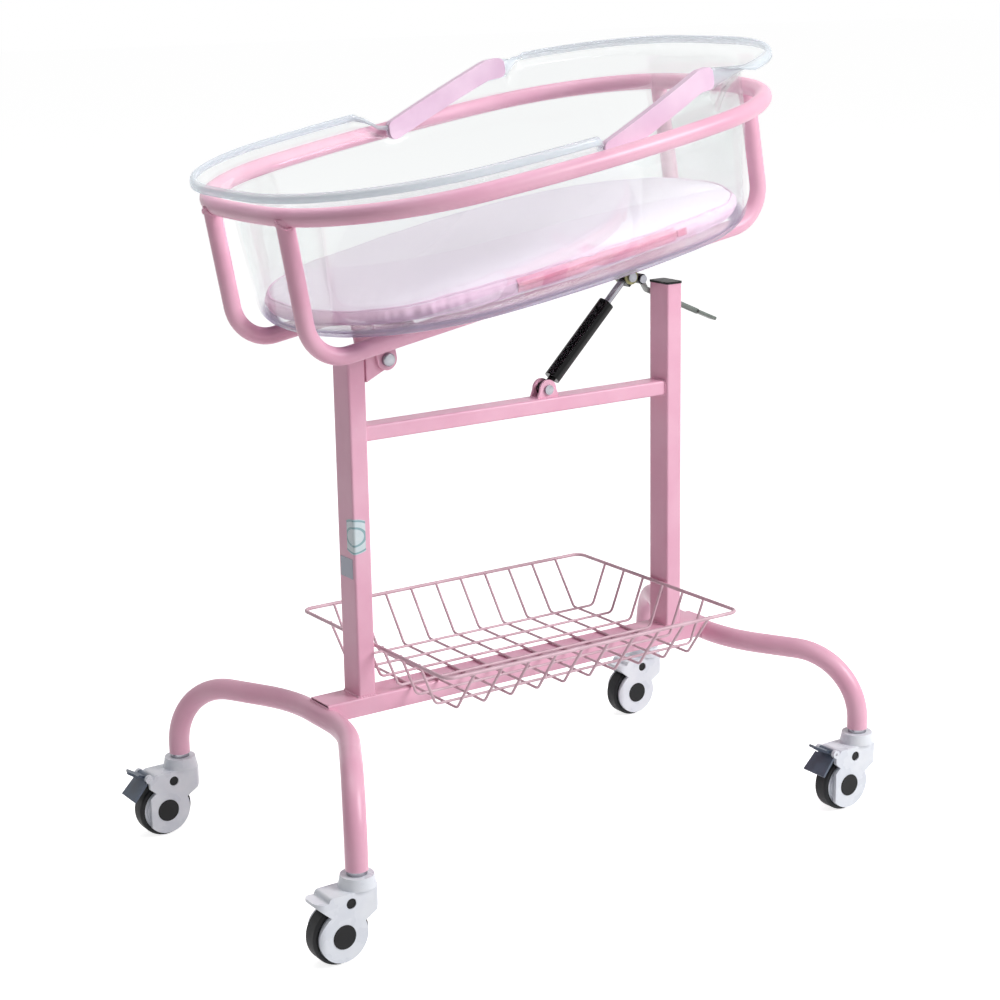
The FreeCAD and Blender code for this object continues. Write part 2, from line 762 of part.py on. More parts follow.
def spring_head_pin():
    half = release_head_width / 2 + spring_bracket_gap + spring_bracket_thickness
    return headed_pin(spring_top.x, spring_top.z, half, spring_pin_diameter, pin_head_diameter)


# ---------------------------------------------------------------- basin frame

def hoop_bar(radius):
    """The hoop as a solid bar: its right half swept, and that half turned round."""
    right = sweep_round(Part.Wire(oval_arcs(hoop_half_length, hoop_half_width, 0, 0)), radius)
    left = right.copy()
    left.rotate(origin, axis_z, 180)
    return right.fuse(left).removeSplitter()


def hoop(bar):
    """The oval tube, with a vent hole over each upright as coated tube has."""
    ring = bar.cut(hoop_bar(hoop_radius - frame_tube_wall))
    for side_u in (-1, 1):
        for side_v in (-1, 1):
            below = vec(side_u * hanger_u, side_v * hanger_offset, -frame_tube_diameter)
            ring = ring.cut(rod(below, below + vec(0, 0, frame_tube_diameter), vent_hole_diameter / 2))
    return ring


def hanger(side, bar):
    """A U-shaped tube under the tub: up to the hoop at both ends."""
    v = side * hanger_offset
    points = [vec(-hanger_u, v, 0), vec(-hanger_u, v, -hanger_depth), vec(hanger_u, v, -hanger_depth),
              vec(hanger_u, v, 0)]
    hollow, outside = tube(rounded_path(points, [hanger_bend_radius] * 2), frame_tube_diameter, frame_tube_wall)
    return largest(hollow.cut(bar)), outside


def cross_tube(u, hanger_bars):
    """A tube from hanger to hanger, just under the tub's floor."""
    start = vec(u, -hanger_offset, cross_tube_n)
    end = vec(u, hanger_offset, cross_tube_n)
    bar = rod(start, end, hoop_radius)
    hollow = bar.cut(rod(start, end, hoop_radius - frame_tube_wall))
    for other in hanger_bars:
        hollow = hollow.cut(other)
    return largest(hollow), bar


# ---------------------------------------------------------------- tub

def wall_loft(offset, floor_lift, top):
    """The tub's wall as a solid cup, its faces moved out by offset and its floor raised."""
    inset = tub_hoop_inset - offset
    return oval_loft([(tub_floor_half_length, tub_floor_half_width, -offset, -tub_depth + floor_lift),
                      (hoop_half_length, hoop_half_width, inset, 0),
                      (hoop_half_length, hoop_half_width, inset, top)])


def rounded_cup(offset, floor_lift, top):
    """The same cup with its bottom edge rounded."""
    cup = wall_loft(offset, floor_lift, top)
    floor_z = -tub_depth + floor_lift
    floor_edges = [e for e in cup.Edges if abs(e.BoundBox.Center.z - floor_z) < 0.01 and e.BoundBox.ZLength < 0.01]
    return cup.makeFillet(tub_bottom_radius + offset, floor_edges)


def lip(start_height, crest_height, rim_height):
    """A flared lip all round: from the wall, over the hoop, out to a rim with a turned-down edge."""
    rim_radii = (rim_side_radius, rim_end_radius, rim_corner_radius)
    under = oval_loft([(hoop_half_length, hoop_half_width, tub_hoop_inset, start_height),
                       (hoop_half_length, hoop_half_width, 0, crest_height),
                       (rim_half_length, rim_half_width, 0, rim_height, rim_radii)])
    over = under.copy()
    over.translate(vec(0, 0, lip_rise))
    hole = wall_prism(tub_wall, start_height - 1, rim_height + 1)
    outer = Part.Face(oval_wire(rim_half_length, rim_half_width, 0, rim_height - rim_skirt_depth, rim_radii))
    inner = Part.Face(oval_wire(rim_half_length, rim_half_width, tub_wall, rim_height - rim_skirt_depth - 1,
                                rim_radii))
    skirt = outer.extrude(vec(0, 0, rim_skirt_depth)).cut(inner.extrude(vec(0, 0, rim_skirt_depth + 2)))
    return under.cut(over).cut(hole).fuse(skirt).removeSplitter()


def wall_prism(inset, bottom, top):
    """The space inside the upright wall, moved in by inset from its outer face."""
    outline = oval_wire(hoop_half_length, hoop_half_width, tub_hoop_inset + inset, bottom)
    return Part.Face(outline).extrude(vec(0, 0, top - bottom))


def keep_range(start_u, end_u):
    reach = 2 * rim_half_length
    return box(start_u, -reach, -reach, end_u, reach, reach)


def edge_cutter(raise_by):
    """Everything above the wall's edge: low at the foot, a ramp, high beside the head, low under the head's lip."""
    far = 2 * rim_half_length
    low = foot_flare_start + lip_rise + raise_by
    high = head_rim_height + raise_by
    root = head_flare_start + lip_rise + raise_by
    outline = [(-far, low), (ramp_start_u, low), (ramp_end_u, high), (head_lip_u, high), (head_lip_u, root),
               (far, root), (far, far), (-far, far)]
    return extrude_side(outline, far, [0, ramp_ease_radius, ramp_ease_radius, 0, 0, 0, 0, 0])


def tub():
    """The clear tub: a drafted cup, an edge that ramps up to the head, and a flared lip at each end."""
    top = head_rim_height + tub_bottom_radius
    cup = rounded_cup(0, 0, top).cut(rounded_cup(-tub_wall, tub_wall, top + 1))
    cup = cup.cut(edge_cutter(0))
    foot_lip = lip(foot_flare_start, foot_flare_crest, foot_rim_height)
    foot_lip = foot_lip.common(keep_range(-2 * rim_half_length, strip_start_u - strip_lip_gap))
    head_lip = lip(head_flare_start, head_flare_crest, head_rim_height)
    head_lip = head_lip.common(keep_range(head_lip_u, 2 * rim_half_length))
    return largest(cup.fuse([foot_lip, head_lip]).removeSplitter())


def grip_strip():
    """A soft channel pushed over the ramp of the tub's edge on the near side."""
    top = head_rim_height + 2 * strip_height
    skin = wall_loft(strip_fit_gap + strip_thickness, 0, top)
    skin = skin.cut(wall_loft(-tub_wall - strip_fit_gap - strip_thickness, -1, top + 1))
    slot = wall_loft(strip_fit_gap, -1, top + 1).cut(wall_loft(-tub_wall - strip_fit_gap, -2, top + 2))
    slot = slot.cut(edge_cutter(strip_fit_gap))
    foot_level = foot_flare_start + lip_rise + strip_top_cover
    slope = (head_rim_height - foot_flare_start - lip_rise) / (ramp_end_u - ramp_start_u)
    low = foot_level + (strip_start_u - ramp_start_u) * slope
    high = head_rim_height + strip_top_cover
    outline = [(strip_start_u, low - strip_height), (ramp_end_u, high - strip_height),
               (strip_end_u, high - strip_height), (strip_end_u, high), (ramp_end_u, high), (strip_start_u, low)]
    band = extrude_side(outline, 2 * rim_half_width,
                        [strip_end_round, strip_height, strip_end_round, strip_end_round, strip_height,
                         strip_end_round])
    reach = 2 * rim_half_width
    near_side = box(-reach, -reach, -reach, reach, 0, reach)
    return largest(skin.common(band).common(near_side).cut(slot))


# ---------------------------------------------------------------- mattress

def mattress():
    """A plain oval pad on the tub's floor."""
    bottom = -tub_depth + tub_wall + mattress_seat_gap
    radii = (mattress_side_radius, mattress_end_radius, mattress_corner_radius)
    outline = oval_wire(mattress_half_length, mattress_half_width, 0, bottom, radii)
    pad = Part.Face(outline).extrude(vec(0, 0, mattress_thickness))
    return pad.makeFillet(mattress_edge_radius, [e for e in pad.Edges if e.BoundBox.ZLength < 0.01])


def zip_pull():
    """The slider of the cover's zip, near the head end of its near side."""
    middle_n = -tub_depth + tub_wall + mattress_seat_gap + mattress_thickness / 2
    turn = math.asin(zip_pull_u / mattress_side_radius)
    side_v = mattress_side_radius * (1 - math.cos(turn)) - mattress_half_width
    slider = box(-zip_pull_length / 2, -zip_pull_thickness, -zip_pull_width / 2, zip_pull_length / 2, 0,
                 zip_pull_width / 2)
    slider = slider.makeFillet(zip_pull_thickness * 0.3, slider.Edges)
    slider.rotate(origin, axis_z, math.degrees(turn))
    slider.translate(vec(zip_pull_u, side_v - zip_pull_gap, middle_n))
    return slider


# ---------------------------------------------------------------- basket

basket_floor_z = beam_top_height + basket_seat_gap + basket_wire / 2
basket_wall_lean = math.atan2(basket_half_width - basket_floor_half_width, basket_rim_height - basket_floor_z)


def basket_rim():
    """The closed wire round the basket's mouth."""
    x = basket_half_length
    y = basket_half_width
    z = basket_rim_height
    r = basket_rim_corner
    points = [vec(x, 0, z), vec(x, y, z), vec(-x, y, z), vec(-x, -y, z), vec(x, -y, z), vec(x, 0, z)]
    return sweep_round(rounded_path(points, [r] * 4), basket_rim_wire / 2)


def basket_wires_across():
    """The U-shaped wires from the near rim, under the floor, to the far rim."""
    inside = basket_rim_wire / 2 + basket_wire / 2 + basket_weld_gap
    wires = []
    for i in range(basket_cross_wires):
        x = (i - (basket_cross_wires - 1) / 2) * basket_cross_pitch
        top_y = basket_half_width - inside
        points = [vec(x, -top_y, basket_rim_height), vec(x, -basket_floor_half_width, basket_floor_z),
                  vec(x, basket_floor_half_width, basket_floor_z), vec(x, top_y, basket_rim_height)]
        wires.append(sweep_round(rounded_path(points, [basket_wire_bend] * 2), basket_wire / 2))
    return wires


def basket_wires_along():
    """The wires from the left rim, over the cross wires, to the right rim."""
    inside = basket_rim_wire / 2 + basket_wire / 2 + basket_weld_gap
    level = basket_floor_z + basket_wire + basket_weld_gap
    wires = []
    for i in range(basket_long_wires):
        y = (i - (basket_long_wires - 1) / 2) * basket_long_pitch
        top_x = basket_half_length - inside
        floor_x = basket_half_length - basket_floor_inset_x
        points = [vec(-top_x, y, basket_rim_height), vec(-floor_x, y, level), vec(floor_x, y, level),
                  vec(top_x, y, basket_rim_height)]
        wires.append(sweep_round(rounded_path(points, [basket_wire_bend] * 2), basket_wire / 2))
    return wires


# ---------------------------------------------------------------- casters
# Each is drawn about its swivel axis, trailing towards -X, and moved to its leg.

def caster_stem():
    """The plug in the leg, a ring under it and the pin that the housing turns on."""
    plug_radius = arch_tube_diameter / 2 - arch_tube_wall - stem_plug_clearance
    ring_top = leg_end_height
    collar_top = housing_top + collar_height
    plug = rod(vec(0, 0, ring_top), vec(0, 0, ring_top + stem_plug_length), plug_radius)
    ring = rod(vec(0, 0, collar_top + running_clearance * 3), vec(0, 0, ring_top), stem_ring_diameter / 2)
    pin = rod(vec(0, 0, collar_top - stem_pin_depth), vec(0, 0, ring_top), stem_pin_diameter / 2)
    return plug.fuse([ring, pin]).removeSplitter()


def caster_housing():
    """The white body: collar, drum round the swivel, visor over the wheel, and a cheek to each side of the hub."""
    half = housing_width / 2
    hub = (-wheel_trail, wheel_radius)
    waist = math.radians(housing_waist_angle)
    waist_x = hub[0] + housing_disc_radius * math.cos(waist)
    waist_z = hub[1] + housing_disc_radius * math.sin(waist)
    drum_foot = (waist_z + housing_top) / 2 - 4
    outline = [(housing_front, housing_top), (housing_front, drum_foot), (waist_x, waist_z), hub,
               (hub[0] - housing_disc_radius * 0.5, hub[1] + housing_disc_radius * 0.85),
               (-visor_reach, visor_height - visor_thickness), (-visor_reach, visor_height),
               (-visor_step_reach, visor_step_height), (-visor_step_reach, housing_top)]
    body = extrude_side(outline, half, [4, 14, 0, 0, 0, 0, 0, 2, 5])
    body = body.fuse(across(hub[0], hub[1], half, housing_disc_radius))
    plan = Part.makeCylinder(housing_front, housing_top * 2, vec(0, 0, 0))
    rear = rounded_bar(housing_top * 2, visor_reach, 2 * half, housing_rear_corner)
    rear.translate(vec(-visor_reach / 2, 0, 0))
    inner = box(-visor_reach / 2, -half, 0, 0, half, housing_top * 2)
    body = body.common(plan.fuse([rear, inner]))
    wheel_space = across(hub[0], hub[1], hub_width / 2 + housing_side_gap, wheel_radius + housing_tyre_gap)
    body = body.cut(wheel_space)
    collar = Part.makeCone(collar_bottom_diameter / 2, collar_top_diameter / 2, collar_height,
                           vec(0, 0, housing_top))
    body = body.fuse(collar).removeSplitter()
    pin_space = rod(vec(0, 0, housing_top + collar_height - stem_pin_depth - running_clearance * 3),
                    vec(0, 0, housing_top + collar_height + 1), stem_pin_diameter / 2 + running_clearance)
    body = body.cut(pin_space)
    body = body.cut(across(hub[0], hub[1], half + 1, axle_diameter / 2))
    for side in (-1, 1):
        floor_y = side * (half - hub_cap_thickness + hub_cap_proud)
        body = body.cut(rod(vec(hub[0], floor_y, hub[1]), vec(hub[0], side * (half + 1), hub[1]),
                            hub_cap_diameter / 2 + cap_pocket_clearance))
        plug_floor = side * (half - 2 * plug_recess)
        body = body.cut(rod(vec(-plug_setback, plug_floor, plug_height), vec(-plug_setback, side * (half + 1),
                        plug_height), plug_diameter / 2 + cap_pocket_clearance))
    return largest(body)


def pedal_space():
    """The room in a braked housing for the pedal's hub, between two short lugs."""
    return across(-pedal_pivot_setback, pedal_pivot_height, pedal_hub_width / 2 + pedal_side_gap,
                  pedal_hub_diameter / 2 + 2)


def braked_housing():
    """A housing whose visor carries a pedal: two lugs, a gap between them and a cross pin's bore."""
    half = housing_width / 2
    x = -pedal_pivot_setback
    z = pedal_pivot_height
    body = caster_housing()
    lug = across(x, z, half, pedal_hub_diameter / 2 + 1)
    body = body.fuse(lug)
    opening = box(-2 * visor_reach, -pedal_hub_width / 2 - pedal_side_gap, wheel_radius,
                  x + pedal_hub_diameter / 2 + 1, pedal_hub_width / 2 + pedal_side_gap, 2 * housing_top)
    beyond = box(-2 * visor_reach, -half - 1, 0, x, half + 1, 2 * housing_top)
    body = body.cut([opening, beyond.cut(lug)]).cut(pedal_space())
    return largest(body.cut(across(x, z, half + 1, pedal_pin_diameter / 2)).removeSplitter())


def caster_axle():
    return across(-wheel_trail, wheel_radius, housing_width / 2 - hub_cap_thickness + hub_cap_proud,
                  axle_diameter / 2)


def wheel_hub():
    """The white wheel centre: a wide disc with a shallow dish on each side."""
    hub_radius = wheel_radius - tyre_thickness
    disc = across(-wheel_trail, wheel_radius, tyre_width / 2 - 1, hub_radius)
    boss = across(-wheel_trail, wheel_radius, hub_width / 2, hub_radius - 4)
    body = disc.fuse(boss).removeSplitter()
    return body.cut(across(-wheel_trail, wheel_radius, hub_width, axle_diameter / 2 + running_clearance))


def tyre():
    """The dark tread with rounded shoulders."""
    outer = across(-wheel_trail, wheel_radius, tyre_width / 2, wheel_radius)
    outer = outer.makeFillet(tyre_shoulder, [e for e in outer.Edges if e.Closed and e.BoundBox.YLength < 0.01])
    return outer.cut(across(-wheel_trail, wheel_radius, tyre_width, wheel_radius - tyre_thickness))


def caster_caps():
    """The black hub caps and the two small plugs above them."""
    half = housing_width / 2
    caps = []
    for side in (-1, 1):
        inner = side * (half - hub_cap_thickness + hub_cap_proud)
        outer = side * (half + hub_cap_proud)
        cap = rod(vec(-wheel_trail, inner, wheel_radius), vec(-wheel_trail, outer, wheel_radius), hub_cap_diameter / 2)
        caps.append(cap)
        inner = side * (half - 2 * plug_recess)
        outer = side * (half - plug_recess)
        caps.append(rod(vec(-plug_setback, inner, plug_height), vec(-plug_setback, outer, plug_height),
                        plug_diameter / 2))
    return caps


def brake_pedal():
    """A rocker: a toe plate that slopes down and outwards, and a notched tab that rises."""
    half = pedal_hub_width / 2
    x = -pedal_pivot_setback
    z = pedal_pivot_height
    hub = across(x, z, half, pedal_hub_diameter / 2)
    plate = flat_plate([(0, half), (pedal_neck_length, half), (pedal_neck_length, pedal_width / 2),
                        (pedal_length, pedal_end_width / 2)])
    plate.rotate(origin, axis_y, 180 - pedal_drop_angle)
    plate.translate(vec(x, 0, z))
    tab = notched_tab()
    tab.rotate(origin, axis_y, 180 + pedal_tab_rise_angle)
    tab.translate(vec(x, 0, z))
    body = hub.fuse([plate, tab]).removeSplitter()
    return body.cut(across(x, z, half + 1, pedal_pin_diameter / 2 + running_clearance))


def flat_plate(half_outline):
    """A plate of the pedal's thickness in plan, from the half of its outline on the far side."""
    corners = [vec(x, y, 0) for x, y in half_outline] + [vec(x, -y, 0) for x, y in reversed(half_outline)]
    face = Part.Face(Part.makePolygon(corners + corners[:1]))
    plate = face.extrude(vec(0, 0, pedal_plate_thickness))
    plate.translate(vec(0, 0, -pedal_plate_thickness / 2))
    return plate


def notched_tab():
    """The upper tab in plan: a neck, two points at its sides and one in its middle, like half a star."""
    neck = pedal_hub_width * 0.35
    return flat_plate([(0, neck), (pedal_tab_length * 0.5, neck), (pedal_tab_length * 0.75, pedal_width / 2),
                       (pedal_tab_length * 0.85, neck * 0.8), (pedal_tab_length, neck * 0.3)])


def pedal_pin():
    return across(-pedal_pivot_setback, pedal_pivot_height, housing_width / 2, pedal_pin_diameter / 2)


def at_leg(shape, side_x, side_y):
    placed = shape.copy()
    placed.translate(vec(side_x * leg_spacing_length / 2, side_y * leg_spacing_width / 2, 0))
    return placed


# ---------------------------------------------------------------- build

def build_stand():
    left_arch, left_bar = leg_arch(-1)
    right_arch, right_bar = leg_arch(1)
    save("left_leg_arch", left_arch)
    save("right_leg_arch", right_arch)
    save("base_beam", base_beam([left_bar, right_bar]))
    save("left_column", column(-1, left_column_top))
    save("right_column", column(1, right_column_top))
    save("cross_rail", cross_rail())
    save("column_caps", group([column_cap(-1, left_column_top), column_cap(1, right_column_top)]))
    save("blank_labels", group(column_labels()))
    save("hinge_bracket", hinge_bracket())
    save("hinge_spacer", hinge_spacer())
    save("hinge_bolt", hinge_bolt())
    save("spring_clevis", spring_clevis())
    save("spring_foot_pin", spring_foot_pin())


def build_spring():
    save("gas_cylinder", gas_cylinder())
    save("gas_rod", gas_rod())
    save("release_head", release_head())
    save("lever_pin", lever_pin())
    save("release_lever", release_lever())


def build_basin():
    bar = hoop_bar(hoop_radius)
    near, near_bar = hanger(-1, bar)
    far, far_bar = hanger(1, bar)
    foot, foot_bar = cross_tube(hinge_from_hoop_u, [near_bar, far_bar])
    head, head_bar = cross_tube(spring_from_hoop_u, [near_bar, far_bar])
    save("hoop", basin_place(hoop(bar)))
    save("near_hanger", basin_place(near))
    save("far_hanger", basin_place(far))
    save("foot_cross_tube", basin_place(foot))
    save("head_cross_tube", basin_place(head))
    placed_foot = basin_place(foot_bar)
    placed_head = basin_place(head_bar)
    save("hinge_ears", group([largest(ear.cut(placed_foot)) for ear in hinge_ears()]))
    save("spring_bracket", group([largest(plate.cut(placed_head)) for plate in spring_bracket()]))
    save("spring_head_pin", spring_head_pin())
    save("tub", basin_place(tub()))
    strip = grip_strip()
    save("near_grip_strip", basin_place(strip))
    save("far_grip_strip", basin_place(strip.mirror(origin, axis_y)))
    save("mattress", basin_place(mattress()))
    save("zip_pull", basin_place(zip_pull()))


def build_basket():
    save("basket_rim", basket_rim())
    save("basket_wires_across", group(basket_wires_across()))
    save("basket_wires_along", group(basket_wires_along()))


def build_casters():
    stems = []
    pins = []
    for name, (side_x, side_y, braked) in caster_places.items():
        stems.append(at_leg(caster_stem(), side_x, side_y))
        housing = braked_housing() if braked else caster_housing()
        save(name + "_caster_housing", at_leg(housing, side_x, side_y))
        save(name + "_axle", at_leg(caster_axle(), side_x, side_y))
        save(name + "_caps", at_leg(group(caster_caps()), side_x, side_y))
        save(name + "_wheel", at_leg(wheel_hub(), side_x, side_y))
        save(name + "_tyre", at_leg(tyre(), side_x, side_y))
        if braked:
            save(name + "_brake_pedal", at_leg(brake_pedal(), side_x, side_y))
            save(name + "_pedal_pin", at_leg(pedal_pin(), side_x, side_y))
    save("caster_stems", group(stems))


os.makedirs("parts", exist_ok=True)
build_stand()
build_spring()
build_basin()
build_basket()
build_casters()
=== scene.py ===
import math
import json
import bpy
import bmesh
import numpy as np
from mathutils import Matrix, Vector


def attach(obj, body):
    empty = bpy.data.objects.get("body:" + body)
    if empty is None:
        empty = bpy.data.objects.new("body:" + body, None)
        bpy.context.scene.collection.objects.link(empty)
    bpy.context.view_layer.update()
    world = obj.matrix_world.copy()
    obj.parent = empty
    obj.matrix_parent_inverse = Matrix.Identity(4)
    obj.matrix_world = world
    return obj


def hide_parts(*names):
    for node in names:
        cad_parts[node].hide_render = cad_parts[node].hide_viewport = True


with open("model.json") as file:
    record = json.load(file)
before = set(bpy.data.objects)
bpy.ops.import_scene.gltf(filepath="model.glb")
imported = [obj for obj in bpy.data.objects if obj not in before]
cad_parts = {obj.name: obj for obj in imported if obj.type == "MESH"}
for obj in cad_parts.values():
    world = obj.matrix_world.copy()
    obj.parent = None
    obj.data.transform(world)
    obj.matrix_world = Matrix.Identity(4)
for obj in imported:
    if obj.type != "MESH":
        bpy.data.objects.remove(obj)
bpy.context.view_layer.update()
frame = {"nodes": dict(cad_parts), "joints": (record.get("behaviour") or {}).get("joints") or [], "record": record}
print("frame loaded:", len(frame["nodes"]), "nodes")


# The basin has its own tilted frame: u along it, v across, n up from the hoop's middle
basinPlan = {
    "hingeToHoop": (0.2143, 0.2200),        # from the hinge to the hoop's middle, along u and n
    "tilt": math.radians(9.85),
    "hoopHalf": (0.354, 0.270),
    "hoopRadii": (1.040, 1.240, 0.214),     # side, end and corner arcs
    "hingeInStand": -0.2095,                # the hinge's X where the stand's middle is zero
}

hinge = [joint for joint in frame["joints"] if joint["name"] == "basin_tilt"][0]["pos_m"]
standShift = hinge[0] - basinPlan["hingeInStand"]
alongU = np.array([math.cos(basinPlan["tilt"]), 0, math.sin(basinPlan["tilt"])])
alongN = np.array([-math.sin(basinPlan["tilt"]), 0, math.cos(basinPlan["tilt"])])
hoopMiddle = np.array(hinge) + alongU * basinPlan["hingeToHoop"][0] + alongN * basinPlan["hingeToHoop"][1]


def basinPoints(places):
    # basin places (u, v, n) turned by the tilt and moved to the hoop's middle
    return hoopMiddle + places[..., 0:1] * alongU + places[..., 1:2] * np.array([0, 1, 0]) \
        + places[..., 2:3] * alongN


def basinOval(steps, half, radii, inset=0.0):
    # A closed oval of four equal quarters. Each quarter is three circle arcs that touch: centre plus
    # (radius minus inset) times (cos a, sin a), with a running evenly over the arc. The shares of a
    # quarter that go to the side, corner and end arcs are fixed, so ovals of other sizes correspond.
    sideRadius, endRadius, cornerRadius = radii
    sideCentre = np.array([0.0, half[1] - sideRadius])
    endCentre = np.array([half[0] - endRadius, 0.0])
    line = endCentre - sideCentre
    distance = np.hypot(*line)
    line = line / distance
    sideReach, endReach = sideRadius - cornerRadius, endRadius - cornerRadius
    along = (sideReach ** 2 - endReach ** 2 + distance ** 2) / (2 * distance)
    aside = math.sqrt(sideReach ** 2 - along ** 2)
    cornerCentre = sideCentre + line * along + np.array([line[1], -line[0]]) * aside
    toSide, toEnd = cornerCentre - sideCentre, cornerCentre - endCentre
    sideAngle, endAngle = math.atan2(toSide[1], toSide[0]), math.atan2(toEnd[1], toEnd[0])
    share = np.arange(steps) / steps
    onSide, onCorner = share < 0.4, (share >= 0.4) & (share < 0.8)
    angle = np.where(onSide, math.pi / 2 + (sideAngle - math.pi / 2) * share / 0.4,
                     np.where(onCorner, sideAngle + (endAngle - sideAngle) * (share - 0.4) / 0.4,
                              endAngle * (1 - share) / 0.2))
    centre = np.where(onSide[:, None], sideCentre, np.where(onCorner[:, None], cornerCentre, endCentre))
    radius = np.where(onSide, sideRadius, np.where(onCorner, cornerRadius, endRadius)) - inset
    first = centre + radius[:, None] * np.stack([np.cos(angle), np.sin(angle)], -1)
    tip = np.array([[half[0] - inset, 0.0]])
    top = np.array([[0.0, half[1] - inset]])
    second = np.concatenate([tip, first[:0:-1]]) * (1, -1)      # from the head end to the near side
    return np.concatenate([first, second, first * (-1, -1), second * (-1, -1)])


def pieceFromGrid(name, grid, body, closedAround=True, capStart=False, capEnd=False):
    # A grid of points (rows, around, 3) made into faces, each between two rows and two columns
    rows, around = grid.shape[:2]
    points = grid.reshape(-1, 3)
    columns = around if closedAround else around - 1
    row, column = np.meshgrid(np.arange(rows - 1), np.arange(columns), indexing="ij")
    ahead = (column + 1) % around
    faces = np.stack([row * around + column, row * around + ahead, (row + 1) * around + ahead,
                      (row + 1) * around + column], -1).reshape(-1, 4).tolist()
    if capStart:
        faces.append(list(range(around))[::-1])
    if capEnd:
        faces.append(list(range((rows - 1) * around, rows * around)))
    mesh = bpy.data.meshes.new(name)
    mesh.from_pydata(points.tolist(), [], faces)
    mesh.update()
    return pieceFromMesh(name, mesh, body)


def pieceFromMesh(name, mesh, body):
    piece = bpy.data.objects.new(name, mesh)
    bpy.context.scene.collection.objects.link(piece)
    mesh.shade_smooth()
    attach(piece, body)
    return piece


def barAlong(name, path, radius, body, around=8):
    # A round bar along a closed line of points p: place = p + r * (cos a * n + sin a * b), where b is
    # square to the line and to its mean direction out from the middle, and n is square to both.
    onward = np.roll(path, -1, 0) - np.roll(path, 1, 0)
    onward /= np.linalg.norm(onward, axis=1, keepdims=True)
    outward = path - path.mean(0)
    outward -= onward * (outward * onward).sum(1, keepdims=True)
    outward /= np.linalg.norm(outward, axis=1, keepdims=True)
    upward = np.cross(onward, outward)
    angle = np.linspace(0, 2 * math.pi, around, endpoint=False)[:, None, None]
    radius = np.broadcast_to(np.asarray(radius, float), len(path))[:, None]
    grid = path + radius * (np.cos(angle) * outward + np.sin(angle) * upward)
    grid = np.concatenate([grid, grid[:1]])          # the last row lies on the first and is merged with it
    piece = pieceFromGrid(name, grid, body)
    mergeDoubles(piece.data)
    return piece


def mergeDoubles(mesh, dissolveAngle=None):
    work = bmesh.new()
    work.from_mesh(mesh)
    bmesh.ops.remove_doubles(work, verts=work.verts, dist=0.00002)
    if dissolveAngle:
        bmesh.ops.dissolve_limit(work, angle_limit=dissolveAngle, verts=work.verts, edges=work.edges)
    bmesh.ops.recalc_face_normals(work, faces=work.faces)
    work.to_mesh(mesh)
    work.free()


def dress(piece, material):
    piece.data.materials.clear()
    piece.data.materials.append(material)


def applyModifiers(piece):
    # the piece's mesh as its modifiers leave it
    depsgraph = bpy.context.evaluated_depsgraph_get()
    finished = bpy.data.meshes.new_from_object(piece.evaluated_get(depsgraph))
    piece.modifiers.clear()
    piece.data = finished


def setAttribute(piece, name, values, kind="FLOAT"):
    attribute = piece.data.attributes.new(name, kind, "POINT")
    attribute.data.foreach_set("value" if kind == "FLOAT" else "vector", values.astype(np.float32).ravel())


# Finishes

def linearColour(code):
    # sRGB hex to the linear values that a shader takes
    channels = [int(code[k:k + 2], 16) / 255 for k in (1, 3, 5)]
    return tuple(c / 12.92 if c <= 0.04045 else ((c + 0.055) / 1.055) ** 2.4 for c in channels) + (1.0,)


def perMillimetre(size):
    # texture scale for a pattern whose features are this many millimetres across
    return 1000.0 / size


def addNode(material, kind, settings={}, links={}):
    node = material.node_tree.nodes.new(kind)
    for key, value in settings.items():
        if isinstance(key, int) or key in node.inputs:
            node.inputs[key].default_value = value
        else:
            setattr(node, key, value)
    for key, socket in links.items():
        material.node_tree.links.new(socket, node.inputs[key])
    return node


def worked(material, operation, *values):
    # one Math node, fed by sockets or by plain numbers
    node = addNode(material, "ShaderNodeMath", {"operation": operation})
    for place, value in enumerate(values):
        if isinstance(value, float):
            node.inputs[place].default_value = value
        else:
            material.node_tree.links.new(value, node.inputs[place])
    return node.outputs[0]


def blankMaterial(name):
    material = bpy.data.materials.new(name)
    material.use_nodes = True
    material.node_tree.nodes.clear()
    return material


def finishMaterial(material, shader):
    addNode(material, "ShaderNodeOutputMaterial", {}, {"Surface": shader.outputs[0]})
    return material


def patchedColour(material, place, values):
    # two close colours in soft patches, and the share that blends them
    patches = addNode(material, "ShaderNodeTexNoise",
                      {"Scale": perMillimetre(values["patch"]), "Detail": 3.0}, {"Vector": place})
    share = addNode(material, "ShaderNodeMapRange", {"From Min": 0.35, "From Max": 0.65},
                    {"Value": patches.outputs[0]})
    colour = addNode(material, "ShaderNodeMix",
                     {"data_type": "RGBA", 6: linearColour(values["deep"]), 7: linearColour(values["pale"])},
                     {0: share.outputs[0]})
    return share, colour


